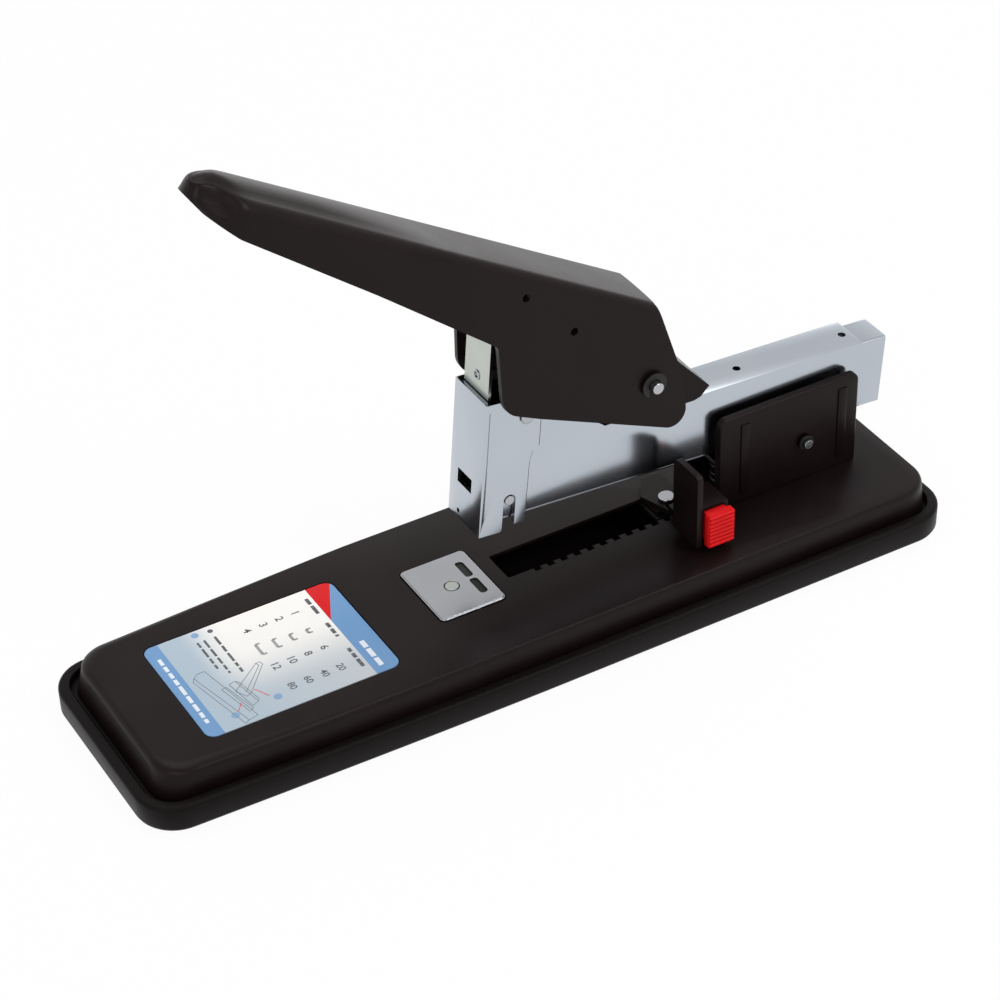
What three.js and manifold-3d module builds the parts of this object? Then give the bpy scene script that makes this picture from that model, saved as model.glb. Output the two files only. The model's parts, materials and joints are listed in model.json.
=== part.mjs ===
// Long-arm desktop stapler with a raised lever handle, in millimetres, +Z up.
// The origin is the centre of the footprint on the ground.
// The handle's nose points to -X, the hinge is at +X.
import * as THREE from 'three';
import { mergeVertices } from 'three/addons/utils/BufferGeometryUtils.js';
import Module from 'manifold-3d';

const wasm = await Module();
wasm.setup();

// ---------------------------------------------------------------- driving sizes
const FIT = 0.3;                      // gap between pieces that touch on the real object
const SHEET = 1.2;                    // steel of the base shell
const ROUND = 32;                     // sides of a small round piece

// base
const BASE_LENGTH = 260;
const BASE_WIDTH = 75;
const PAD_HEIGHT = 8.4;
const PAD_CORNER = 12;
const PAD_RIM = 3.4;                  // width of the ledge around the shell
const FRONT_TAPER = 2;                // the base is this much narrower at the front, on each side
const PAD_FLOOR = 2.5;
const PAD_LEDGE = 6.1;                // height of the step that carries the shell's edge
const SHELL_TOP = 16.34;
const SHELL_EDGE = 6.4;               // height of the shell's lower edge
const SHELL_GROOVE = 0.8;             // dark line between the rim and the shell
const SHELL_CORNER = 8.6;
const POST_RADIUS = 4;
const POST_INSET_X = 22;              // posts measured from the ends and from the sides
const POST_INSET_Y = 14.5;
const SCREW_RADIUS = 1.6;

// hinge of the magazine
const PIVOT_INSET = 36.2;             // pivot pin ahead of the rear end
const PIVOT_RISE = 13.86;             // pivot pin above the shell
const PIVOT_RADIUS = 1.25;
const BRACKET_LENGTH = 48.6;
const BRACKET_FRONT = 29.6;           // bracket's front edge ahead of the pivot
const BRACKET_RISE = 31.2;
const BRACKET_SHEET = 1.4;

// magazine, in its own frame: origin on the pivot pin, tilted by MAGAZINE_TILT
const MAGAZINE_TILT = 5;
const REACH = 106.6;                  // pivot pin to driver blade
const CHANNEL_HALF_WIDTH = 6.4;
const CHANNEL_WALL = 0.8;
const CRADLE_SHEET = 1.4;
const CHANNEL_TOP = 25;               // height over the pivot, with its slope
const CHANNEL_TOP_SLOPE = 0.043;
const CHANNEL_REAR = 20.5;
const RAIL_TILT = 1.03;               // the staple rail runs this much flatter than the magazine
const RAIL_FLOOR = 1.65;              // underside of the rail above the pivot
const RAIL_PLATE = 0.65;
const RAIL_HEIGHT = 16.3;
const CAP_REAR = 30;
const CAP_TOP = 24;
const HEAD_SHEET = 1.8;
const HEAD_FRONT_SHEET = 1.2;
const HEAD_TOP = 41;
const HEAD_BOTTOM = -2.5;
const BLADE_THICKNESS = 1;
const BLADE_BOTTOM = 18.4;
const BLADE_TOP = 66;
const BLADE_RIVET_HEIGHT = 46.1;
const LINK_PIN = { x: -REACH + 6.4, z: 57, r: 1.5 };

// handle, in its own frame: origin on the handle pin, tilted by HANDLE_TILT
const HANDLE_TILT = 31.07;
const HANDLE_PIVOT = { x: -REACH + 49.4, z: 36.35 };
const HANDLE_PIN_RADIUS = 1.8;
const HANDLE_NOSE = -161.2;
const HANDLE_TOP = 22.15;
const HANDLE_CROWN = 1.85;             // rise of the rounded top ahead of the flat one
const HANDLE_SHEET = 1.6;
const HANDLE_HALF_WIDTH = 10.96;
const HANDLE_EDGE_RADIUS = 3;
const HANDLE_FLARE = 0.0614;          // growth of the half-width per millimetre downwards
const YOKE_SHEET = 1.6;

// depth guide
const GUIDE_FRONT = -16.7;            // stop plate ahead of the bracket's front edge
const TOOTH_PITCH = 4.4;

// ---------------------------------------------------------------- derived places
const HALF_LENGTH = BASE_LENGTH / 2;
const HALF_WIDTH = BASE_WIDTH / 2;
const CHANNEL_INNER = CHANNEL_HALF_WIDTH - CHANNEL_WALL;
const CRADLE_HALF_WIDTH = CHANNEL_HALF_WIDTH + FIT + CRADLE_SHEET;
const HEAD_HALF_WIDTH = CHANNEL_HALF_WIDTH + FIT + HEAD_SHEET;
const BLADE_WIDTH = 2 * CHANNEL_HALF_WIDTH;
const RAIL_HALF_WIDTH = CHANNEL_INNER - 1.4;
const BRACKET_HALF_WIDTH = CRADLE_HALF_WIDTH + 1 + BRACKET_SHEET;
const BRACKET_PASSAGE = BRACKET_HALF_WIDTH - 2.3;   // half-width left free between the flanges' lips
const YOKE_HALF_WIDTH = HANDLE_HALF_WIDTH - HANDLE_SHEET - 1.06;
const PIVOT_X = HALF_LENGTH - PIVOT_INSET;
const PIVOT_Z = SHELL_TOP + PIVOT_RISE;
const BRACKET_X0 = PIVOT_X - BRACKET_FRONT;
const BRACKET_X1 = BRACKET_X0 + BRACKET_LENGTH;
const BRACKET_Z0 = SHELL_TOP + FIT;
const BRACKET_Z1 = SHELL_TOP + BRACKET_RISE;
const BRACKET_FLOOR = BRACKET_Z0 + 1.5;
const GROOVE_X = PIVOT_X - REACH + 0.1;
const ANVIL = { x0: GROOVE_X - 16.6, x1: GROOVE_X + 4.2, half: 12.75, top: SHELL_TOP + 0.56, thickness: 1.6 };
const LABEL = { x0: -HALF_LENGTH + 23.6, x1: ANVIL.x0 - 18.1, y0: -22.3, y1: 20.7 };
const SLOT = { x0: ANVIL.x1 + 4.9, x1: BRACKET_X0 - 7.2, y0: -5.2, y1: 6.2 };
const GUIDE_X = BRACKET_X0 + GUIDE_FRONT;
const CARRIAGE_Z0 = SHELL_TOP + 0.26;
const CARRIAGE_TOP = CARRIAGE_Z0 + 1.4;
const HOUSING_Z0 = CARRIAGE_TOP + FIT;
const HOUSING = { x0: GUIDE_X + 2.2, x1: GUIDE_X + 11.7, y0: -22.6, y1: -12, top: HOUSING_Z0 + 11.9 };

const PAINT = { color: 0x2a2423, roughness: 0.42, metalness: 0.1 };
const PLASTIC = { color: 0x1d1a1a, roughness: 0.6, metalness: 0 };
const ZINC = { color: 0xb9bec4, roughness: 0.3, metalness: 0.85 };
const STEEL = { color: 0xa3aaa6, roughness: 0.25, metalness: 0.95 };
const PLATED = { color: 0xc9cbc4, roughness: 0.22, metalness: 0.95 };
const DARK_STEEL = { color: 0x4a4a4c, roughness: 0.4, metalness: 0.8 };
const RED = { color: 0xd8221c, roughness: 0.35, metalness: 0 };
const PRINT = { color: 0x8fb4dc, roughness: 0.35, metalness: 0 };

// ---------------------------------------------------------------- solids
function toSolid(geometry) {
  const bare = geometry.clone();
  bare.deleteAttribute('normal');
  bare.deleteAttribute('uv');
  const merged = mergeVertices(bare, 1e-4);
  return new wasm.Manifold(new wasm.Mesh({
    numProp: 3,
    vertProperties: new Float32Array(merged.attributes.position.array),
    triVerts: new Uint32Array(merged.index.array),
  }));
}

function toGeometry(solid) {
  const mesh = solid.getMesh();
  const geometry = new THREE.BufferGeometry();
  const positions = new Float32Array(mesh.numVert * 3);
  for (let i = 0; i < mesh.numVert; i += 1) {
    for (let k = 0; k < 3; k += 1) {
      positions[3 * i + k] = mesh.vertProperties[mesh.numProp * i + k];
    }
  }
  geometry.setAttribute('position', new THREE.BufferAttribute(positions, 3));
  geometry.setIndex(new THREE.BufferAttribute(new Uint32Array(mesh.triVerts), 1));
  geometry.computeVertexNormals();
  return geometry;
}

// Corners are [u, v] or [u, v, radius]; a radius rounds that corner with an arc.
function outline(corners) {
  const shape = new THREE.Shape();
  const count = corners.length;
  corners.forEach(([u, v, radius = 0], i) => {
    const here = new THREE.Vector2(u, v);
    if (radius === 0) {
      if (i === 0) shape.moveTo(u, v);
      else shape.lineTo(u, v);
      return;
    }
    const before = corners[(i + count - 1) % count];
    const after = corners[(i + 1) % count];
    const back = new THREE.Vector2(before[0], before[1]).sub(here).normalize();
    const on = new THREE.Vector2(after[0], after[1]).sub(here).normalize();
    const half = Math.acos(back.dot(on)) / 2;
    const start = here.clone().addScaledVector(back, radius / Math.tan(half));
    const end = here.clone().addScaledVector(on, radius / Math.tan(half));
    const middle = back.clone().add(on).normalize().multiplyScalar(radius / Math.sin(half)).add(here);
    const from = Math.atan2(start.y - middle.y, start.x - middle.x);
    const to = Math.atan2(end.y - middle.y, end.x - middle.x);
    shape.absarc(middle.x, middle.y, radius, from, to, back.cross(on) > 0);
  });
  return shape;
}

const BASES = {
  x: [new THREE.Vector3(0, 1, 0), new THREE.Vector3(0, 0, 1), new THREE.Vector3(1, 0, 0)],
  y: [new THREE.Vector3(1, 0, 0), new THREE.Vector3(0, 0, 1), new THREE.Vector3(0, -1, 0)],
  z: [new THREE.Vector3(1, 0, 0), new THREE.Vector3(0, 1, 0), new THREE.Vector3(0, 0, 1)],
};

// A prism along one axis between two stations; its outline is in the other two axes, in the order x, y, z.
function prism(axis, corners, low, high, arcSteps = 4) {
  const options = { depth: high - low, bevelEnabled: false, curveSegments: arcSteps };
  const geometry = new THREE.ExtrudeGeometry(outline(corners), options);
  geometry.applyMatrix4(new THREE.Matrix4().makeBasis(...BASES[axis]));
  const start = { x: [low, 0, 0], y: [0, high, 0], z: [0, 0, low] }[axis];
  geometry.translate(...start);
  return toSolid(geometry);
}

function box(x0, x1, y0, y1, z0, z1) {
  const geometry = new THREE.BoxGeometry(x1 - x0, y1 - y0, z1 - z0);
  geometry.translate((x0 + x1) / 2, (y0 + y1) / 2, (z0 + z1) / 2);
  return toSolid(geometry);
}

// A cylinder along one axis; u and v are its place in the other two axes.
function rod(axis, u, v, radius, low, high, sides = ROUND) {
  const geometry = new THREE.CylinderGeometry(radius, radius, high - low, sides);
  const middle = (low + high) / 2;
  if (axis === 'x') {
    geometry.rotateZ(Math.PI / 2);
    geometry.translate(middle, u, v);
  } else if (axis === 'y') {
    geometry.translate(u, middle, v);
  } else {
    geometry.rotateX(Math.PI / 2);
    geometry.translate(u, v, middle);
  }
  return toSolid(geometry);
}

function rounded(x0, x1, y0, y1, radius) {
  return [[x0, y0, radius], [x1, y0, radius], [x1, y1, radius], [x0, y1, radius]];
}

const join = (solids) => solids.reduce((all, solid) => all.add(solid));
const cut = (solid, tools) => tools.reduce((left, tool) => left.subtract(tool), solid);
const bothSides = (make) => join([-1, 1].map(make));
// The interval from inner to outer on one side of the middle plane, side being -1 or 1.
const span = (side, inner, outer) => (side > 0 ? [inner, outer] : [-outer, -inner]);

// Closed skin through rings that all have the same number of points, counter-clockwise seen from above.
function loft(rings) {
  const count = rings[0].length;
  const positions = rings.flat().flatMap((point) => [point.x, point.y, point.z]);
  const index = [];
  for (let level = 0; level < rings.length - 1; level += 1) {
    for (let i = 0; i < count; i += 1) {
      const a = level * count + i;
      const b = level * count + ((i + 1) % count);
      index.push(a, b, b + count, a, b + count, a + count);
    }
  }
  const cap = (ring, offset, up) => {
    const flat = ring.map((point) => new THREE.Vector2(point.x, point.y));
    THREE.ShapeUtils.triangulateShape(flat, []).forEach(([a, b, c]) => {
      if (up) index.push(offset + a, offset + b, offset + c);
      else index.push(offset + c, offset + b, offset + a);
    });
  };
  cap(rings[0], 0, false);
  cap(rings.at(-1), (rings.length - 1) * count, true);
  const geometry = new THREE.BufferGeometry();
  geometry.setAttribute('position', new THREE.Float32BufferAttribute(positions, 3));
  geometry.setIndex(index);
  return toSolid(geometry);
}

class Helix extends THREE.Curve {
  constructor(radius, turns, length) {
    super();
    Object.assign(this, { radius, turns, length });
  }

  // The end coils lie flat, as on a ground compression spring.
  getPoint(t, target = new THREE.Vector3()) {
    const angle = 2 * Math.PI * this.turns * t;
    const flat = 0.75 / this.turns;
    const rise = THREE.MathUtils.clamp((t - flat) / (1 - 2 * flat), 0, 1);
    target.set(this.radius * Math.cos(angle), this.radius * Math.sin(angle), rise * this.length);
    return target;
  }
}

// A compression spring that stands on its place and rises along +Z, before any turn.
function coil(radius, wire, turns, length, steps = 11) {
  const section = new THREE.Shape().absarc(0, 0, wire / 2, 0, 2 * Math.PI);
  const path = new Helix(radius, turns, length - wire * 1.02);
  const geometry = new THREE.ExtrudeGeometry(section, {
    steps: Math.round(turns * steps), extrudePath: path, bevelEnabled: false, curveSegments: 3,
  });
  geometry.translate(0, 0, wire * 0.51);
  return geometry;
}

function clipRing(side, x, z, innerRadius, outerRadius, inner, thickness) {
  const [low, high] = span(side, inner, inner + thickness);
  const hole = rod('y', x, z, innerRadius, low - 1, high + 1);
  const gap = innerRadius * 0.8;
  const mouth = box(x - gap, x + gap, low - 1, high + 1, z - outerRadius - 1, z);
  return cut(rod('y', x, z, outerRadius, low, high), [hole, mouth]);
}

const root = new THREE.Group();
const magazine = new THREE.Group();
magazine.position.set(PIVOT_X, 0, PIVOT_Z);
magazine.rotation.y = THREE.MathUtils.degToRad(MAGAZINE_TILT);
const rail = new THREE.Group();
rail.rotation.y = -THREE.MathUtils.degToRad(RAIL_TILT);
const handle = new THREE.Group();
handle.position.set(HANDLE_PIVOT.x, 0, HANDLE_PIVOT.z);
handle.rotation.y = THREE.MathUtils.degToRad(HANDLE_TILT - MAGAZINE_TILT);
root.add(magazine);
magazine.add(rail, handle);

function place(group, name, shape, look) {
  const geometry = shape.isBufferGeometry ? shape : toGeometry(shape);
  const mesh = new THREE.Mesh(geometry, new THREE.MeshStandardMaterial(look));
  mesh.name = name;
  group.add(mesh);
}

// ---------------------------------------------------------------- base
const ARC_STEPS = 5;

// Plan outline of the base at one height. Half-widths run from the rear to the front as [x, half-width].
function plan(z, front, rear, corner, stations) {
  const side = [];
  const rearWidth = stations[0][1];
  for (let i = 0; i <= ARC_STEPS; i += 1) {
    const angle = (Math.PI / 2) * (i / ARC_STEPS);
    side.push([rear - corner + corner * Math.cos(angle), rearWidth - corner + corner * Math.sin(angle)]);
  }
  stations.slice(1).forEach(([x, width]) => side.push([x, width]));
  const frontWidth = stations.at(-1)[1];
  for (let i = 0; i <= ARC_STEPS; i += 1) {
    const angle = (Math.PI / 2) * (i / ARC_STEPS);
    side.push([front + corner - corner * Math.sin(angle), frontWidth - corner + corner * Math.cos(angle)]);
  }
  const far = side.map(([x, y]) => new THREE.Vector3(x, y, z));
  const near = side.map(([x, y]) => new THREE.Vector3(x, -y, z)).reverse();
  return [...far, ...near];
}

function padPlan(z, inset) {
  const half = HALF_WIDTH - inset;
  const ends = HALF_LENGTH - inset;
  const stations = [
    [ends, half], [-50, half - 0.3], [-87, half - 1.1], [-ends + PAD_CORNER + 1, half - FRONT_TAPER],
  ];
  return plan(z, -ends, ends, PAD_CORNER - Math.min(inset, PAD_CORNER - 2), stations);
}

function basePad() {
  const outside = loft([
    padPlan(0, 1.2), padPlan(1.2, 0.1), padPlan(PAD_HEIGHT - 1, 0), padPlan(PAD_HEIGHT - 0.3, 0.35),
    padPlan(PAD_HEIGHT, 1.1),
  ]);
  const pocket = loft([padPlan(PAD_LEDGE, PAD_RIM), padPlan(PAD_HEIGHT + 1, PAD_RIM)]);
  const inside = loft([padPlan(PAD_FLOOR, PAD_RIM + 3.2), padPlan(PAD_HEIGHT, PAD_RIM + 3.2)]);
  const holes = postPlaces().flatMap(([x, y]) => [
    rod('z', x, y, 3.8, -1, 1.4), rod('z', x, y, SCREW_RADIUS + FIT, -1, PAD_FLOOR + 1, 16),
  ]);
  return cut(outside, [pocket, inside, ...holes]);
}

function postPlaces() {
  const x = HALF_LENGTH - POST_INSET_X;
  const y = HALF_WIDTH - POST_INSET_Y;
  return [[-x - 2, -y], [-x - 2, y], [x, -y], [x, y]];
}

// The sides are upright to the crease; from there the top narrows towards the front.
function shellPlan(z, inset, crease, top) {
  const grow = top - crease;
  const wall = HALF_WIDTH - PAD_RIM - SHELL_GROOVE;
  const narrow = (taper, low, high) => wall - inset - taper - crease * low - grow * high;
  const front = -HALF_LENGTH + PAD_RIM + SHELL_GROOVE + inset + 2.2 * crease + 1.6 * grow;
  const rear = HALF_LENGTH - PAD_RIM - SHELL_GROOVE + 0.5 - inset - 0.5 * crease - 0.6 * grow;
  const stations = [
    [rear, narrow(0, 0.1, 0.5)], [-35, narrow(0.2, 0.1, 0.4)], [-77, narrow(0.95, 0.2, 1.15)],
    [-97, narrow(1.4, 0.3, 1.7)], [front + 10.5, narrow(FRONT_TAPER, 0.5, 2.3)],
  ];
  return plan(z, front, rear, SHELL_CORNER - Math.min(inset, 3), stations);
}

function shellBody(inset, bottom) {
  const top = SHELL_TOP - inset;
  return loft([
    shellPlan(bottom, inset, 0, 0), shellPlan(top - 2.3, inset, 1, 1), shellPlan(top - 0.9, inset, 1, 1.5),
    shellPlan(top - 0.25, inset, 1, 2), shellPlan(top, inset, 1, 2.6),
  ]);
}

function notches() {
  const tooth = GUIDE_X + 6.6;
  const count = Math.floor((tooth - SLOT.x0 - 6) / TOOTH_PITCH);
  return Array.from({ length: count + 1 }, (_, i) => {
    const x = tooth - i * TOOTH_PITCH;
    return box(x - 1.1, x + 1.1, SLOT.y0 - 1.5, SLOT.y0 + 1, SHELL_TOP - 4, SHELL_TOP + 1);
  });
}

function baseShell() {
  const skin = shellBody(0, SHELL_EDGE).subtract(shellBody(SHEET, SHELL_EDGE - 4));
  const under = SHELL_TOP - SHEET;
  const seat = (x0, x1, y0, y1) => box(x0 - 2, x1 + 2, y0 - 2, y1 + 2, under - 1, under + 0.2);
  const posts = postPlaces().map(([x, y]) => (
    rod('z', x, y, POST_RADIUS, PAD_FLOOR + FIT, under + 0.2)
      .subtract(rod('z', x, y, SCREW_RADIUS + FIT, PAD_FLOOR - 1, PAD_FLOOR + 7.5, 16))
  ));
  const solid = join([
    skin, seat(LABEL.x0, LABEL.x1, LABEL.y0, LABEL.y1),
    seat(ANVIL.x0, ANVIL.x1, -ANVIL.half, ANVIL.half), ...posts,
  ]);
  const anvilHalf = ANVIL.half + FIT;
  const labelRecess = rounded(LABEL.x0 - FIT, LABEL.x1 + FIT, LABEL.y0 - FIT, LABEL.y1 + FIT, 3.3);
  const anvilRecess = rounded(ANVIL.x0 - FIT, ANVIL.x1 + FIT, -anvilHalf, anvilHalf, 1.8);
  const anvilFloor = ANVIL.top - ANVIL.thickness - 0.2;
  return cut(solid, [
    prism('z', labelRecess, SHELL_TOP - 0.6, SHELL_TOP + 1),
    prism('z', anvilRecess, anvilFloor, SHELL_TOP + 1),
    prism('z', rounded(SLOT.x0, SLOT.x1, SLOT.y0, SLOT.y1, 0.8), SHELL_TOP - 4, SHELL_TOP + 1),
    ...notches(),
    rod('z', ANVIL.x0 + 9.9, -0.5, 2 + FIT, SHELL_TOP - 6, SHELL_TOP + 1),
    ...bracketRivetPlaces().map((x) => rod('z', x, 0, 1.6 + FIT, SHELL_TOP - 4, SHELL_TOP + 1)),
  ]);
}

function baseScrew([x, y]) {
  const head = rod('z', x, y, 3.4, 0.25, 1.15).add(rod('z', x, y, SCREW_RADIUS, 0.8, PAD_FLOOR + 6, 16));
  return head.subtract(box(x - 2.4, x + 2.4, y - 0.4, y + 0.4, 0, 0.7));
}

function label() {
  const top = SHELL_TOP - 0.1;
  return prism('z', rounded(LABEL.x0, LABEL.x1, LABEL.y0, LABEL.y1, 3), top - 0.3, top);
}

function anvilPlate() {
  const low = ANVIL.top - ANVIL.thickness;
  const body = prism('z', rounded(ANVIL.x0, ANVIL.x1, -ANVIL.half, ANVIL.half, 1.5), low, ANVIL.top - 0.35)
    .add(prism('z', rounded(ANVIL.x0 + 0.35, ANVIL.x1 - 0.35, -ANVIL.half + 0.35, ANVIL.half - 0.35, 1.2),
      ANVIL.top - 0.6, ANVIL.top));
  const pocket = (y0, y1) => prism('z', rounded(GROOVE_X - 1.25, GROOVE_X + 1.25, y0, y1, 1.1),
    ANVIL.top - 1, ANVIL.top + 1);
  const hole = rod('z', ANVIL.x0 + 9.9, -0.5, 2 + FIT, low - 1, ANVIL.top + 1);
  return cut(body, [pocket(0.6, 8.1), pocket(-7.8, -0.4), hole]);
}

function anvilRivet() {
  const x = ANVIL.x0 + 9.9;
  const under = SHELL_TOP - SHEET - 1;
  return rod('z', x, -0.5, 2, under - 0.6, ANVIL.top + 0.05)
    .add(rod('z', x, -0.5, 3.4, under - 1.5, under - FIT));
}

// ---------------------------------------------------------------- hinge bracket
const bracketRivetPlaces = () => [PIVOT_X - 12, BRACKET_X1 - 6.5];

function hingeBracket() {
  const side = [
    [BRACKET_X0, BRACKET_Z0], [BRACKET_X1, BRACKET_Z0], [BRACKET_X1, BRACKET_Z1, 2.6],
    [BRACKET_X0, BRACKET_Z1, 2.6],
  ];
  const inner = [
    [BRACKET_X0 + BRACKET_SHEET, BRACKET_FLOOR], [BRACKET_X1 - BRACKET_SHEET, BRACKET_FLOOR],
    [BRACKET_X1 - BRACKET_SHEET, BRACKET_Z1 - BRACKET_SHEET, 1.4],
    [BRACKET_X0 + BRACKET_SHEET, BRACKET_Z1 - BRACKET_SHEET, 1.4],
  ];
  const plate = BRACKET_HALF_WIDTH - BRACKET_SHEET;
  const rib = (x) => bothSides((s) => {
    const [low, high] = span(s, BRACKET_HALF_WIDTH - 0.5, BRACKET_HALF_WIDTH + 0.5);
    return box(x - 1.6, x + 1.6, low, high, BRACKET_Z0 + 3, BRACKET_Z1 - 3.5);
  });
  const body = join([prism('y', side, -BRACKET_HALF_WIDTH, BRACKET_HALF_WIDTH), rib(BRACKET_X0 + 8.8),
    rib(BRACKET_X1 - 5.8)]);
  return cut(body, [
    prism('y', inner, -plate, plate),
    box(BRACKET_X0 - 1, BRACKET_X1 + 1, -BRACKET_PASSAGE, BRACKET_PASSAGE, BRACKET_FLOOR, BRACKET_Z1 + 1),
    rod('y', PIVOT_X, PIVOT_Z, PIVOT_RADIUS + 0.2, -20, 20),
    ...bracketRivetPlaces().map((x) => rod('z', x, 0, 1.6 + FIT, BRACKET_Z0 - 1, BRACKET_FLOOR + 1)),
  ]);
}

function bracketRivet(x) {
  const under = SHELL_TOP - SHEET;
  return join([
    rod('z', x, 0, 1.6, under - 0.8, BRACKET_FLOOR + 0.8),
    rod('z', x, 0, 3, BRACKET_FLOOR + 0.25, BRACKET_FLOOR + 1.1),
    rod('z', x, 0, 3, under - 1.3, under - 0.25),
  ]);
}

function magazinePivotPin() {
  const reach = BRACKET_HALF_WIDTH + 2.8;
  return join([
    rod('y', PIVOT_X, PIVOT_Z, PIVOT_RADIUS, -reach + 0.4, reach - 0.4),
    ...[-1, 1].map((s) => rod('y', PIVOT_X, PIVOT_Z, PIVOT_RADIUS + 0.25, ...span(s, reach - 1, reach))),
  ]);
}

function liftSpring() {
  const top = PIVOT_Z - 1.9;
  const spring = coil(4.1, 1, 4.5, top - BRACKET_FLOOR - 2 * FIT, 12);
  spring.translate(PIVOT_X - 20.4, 0, BRACKET_FLOOR + FIT);
  return spring;
}

// ---------------------------------------------------------------- depth guide
function guideCarriage() {
  const x0 = GUIDE_X;
  const x1 = GUIDE_X + 11.2;
  const plate = [[x0, -24.4], [x1, -24.4, 1], [x1, 12.3, 1], [x0 + 4.4, 12.3], [x0, 5.4]];
  return cut(prism('z', plate, CARRIAGE_Z0, CARRIAGE_TOP), [
    box(x0 + 3.6, x1 - 1.6, -6.4, -2.1, CARRIAGE_Z0 - 1, CARRIAGE_TOP + 1),
    rod('z', GUIDE_X + 5.8, 0.4, 1.6 + FIT, CARRIAGE_Z0 - 1, CARRIAGE_TOP + 1),
  ]);
}

function paperStop() {
  const wall = 1;
  const upright = prism('x', [
    [-24.4, HOUSING_Z0], [-12, HOUSING_Z0], [-12, HOUSING_Z0 + 24.8, 2.4],
    [-24.4, HOUSING_Z0 + 24.8, 1.2],
  ], GUIDE_X, GUIDE_X + 1.9);
  const shell = box(HOUSING.x0 - 0.6, HOUSING.x1, HOUSING.y0, HOUSING.y1, HOUSING_Z0, HOUSING.top);
  const low = HOUSING.x0 + wall;
  const high = HOUSING.x1 - wall;
  const inside = box(low, high, HOUSING.y0 - 1, HOUSING.y1 - wall, HOUSING_Z0 - 1, HOUSING.top - wall);
  const pawlSlot = box(low, high, HOUSING.y1 - 2, HOUSING.y1 + 1, HOUSING_Z0 - 1, HOUSING_Z0 + 1.6);
  return cut(join([upright, shell]), [inside, pawlSlot]);
}

function guideRivet() {
  const x = GUIDE_X + 5.8;
  return join([
    rod('z', x, 0.4, 1.6, SHELL_TOP - 4, CARRIAGE_TOP + 0.8),
    rod('z', x, 0.4, 2.5, CARRIAGE_TOP + 0.2, CARRIAGE_TOP + 1.3),
    rod('z', x, 0.4, 2.7, SHELL_TOP - 4.2, SHELL_TOP - 3.2),
  ]);
}

function sliderBlock() {
  const block = box(GUIDE_X + 1, GUIDE_X + 8.6, -1.9, SLOT.y1 - FIT, SHELL_TOP - 1.3, CARRIAGE_Z0 - 0.15);
  return block.subtract(rod('z', GUIDE_X + 5.8, 0.4, 1.6 + 0.2, SHELL_TOP - 5, SHELL_TOP + 3));
}

function sliderRetainer() {
  const plate = box(GUIDE_X + 0.6, GUIDE_X + 10.4, -3, 9.5, SHELL_TOP - 2.95, SHELL_TOP - 1.55);
  return plate.subtract(rod('z', GUIDE_X + 5.8, 0.4, 1.6 + 0.2, SHELL_TOP - 5, SHELL_TOP + 3));
}

const BUTTON = { x0: HOUSING.x0 + 1.3, x1: HOUSING.x1 - 1.3, face: HOUSING.y0 - 4.2, back: HOUSING.y0 + 5 };

function releaseButton() {
  const z0 = HOUSING_Z0 + 1.4;
  const z1 = HOUSING.top - 1.3;
  const stem = box(BUTTON.x0, BUTTON.x1, BUTTON.face + 1, BUTTON.back, z0, z1);
  const cap = [
    [BUTTON.face, HOUSING_Z0 + 0.1, 1], [HOUSING.y0 - 1.9, HOUSING_Z0 + 0.1],
    [HOUSING.y0 - 1.9, HOUSING.top - 0.5], [BUTTON.face, HOUSING.top - 0.5, 1],
  ];
  const grooves = [1, 2, 3, 4].map((i) => {
    const z = z0 + (i * (z1 - z0)) / 5;
    return box(HOUSING.x0, HOUSING.x1, BUTTON.face - 1, BUTTON.face + 0.5, z - 0.35, z + 0.35);
  });
  return cut(stem.add(prism('x', cap, HOUSING.x0 + 0.4, HOUSING.x1 - 0.2)), grooves);
}

function buttonSpring() {
  const back = HOUSING.y1 - 1;
  const spring = coil(2.2, 0.6, 3.5, back - BUTTON.back - 2 * FIT, 10);
  spring.rotateX(-Math.PI / 2);
  spring.translate((BUTTON.x0 + BUTTON.x1) / 2, BUTTON.back + FIT, (HOUSING_Z0 + HOUSING.top) / 2 + 0.6);
  return spring;
}

function releasePawl() {
  const z0 = HOUSING_Z0 + 0.3;
  const x = GUIDE_X + 6.6;
  const strip = box(BUTTON.x0 + 0.2, BUTTON.x1 - 0.2, HOUSING.y0 - 1.5, -3.9, z0, z0 + 0.8);
  const leg = box(x - 2, x + 2, -4.6, -3.9, SHELL_TOP - 1.1, z0 + 0.4);
  const tooth = prism('z', [
    [x - 0.9, -4.5], [x - 0.3, SLOT.y0 + FIT], [x + 0.3, SLOT.y0 + FIT], [x + 0.9, -4.5],
  ], SHELL_TOP - 1.1, SHELL_TOP - 0.1);
  return join([strip, leg, tooth]);
}

// ---------------------------------------------------------------- magazine
const channelTop = (x) => CHANNEL_TOP + CHANNEL_TOP_SLOPE * x;
const railSlope = Math.tan(THREE.MathUtils.degToRad(RAIL_TILT));
const channelBottom = (x) => RAIL_FLOOR + RAIL_PLATE + FIT + railSlope * x;
const HEAD_FRONT = -REACH - 0.5 - 0.3 - HEAD_FRONT_SHEET;

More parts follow.
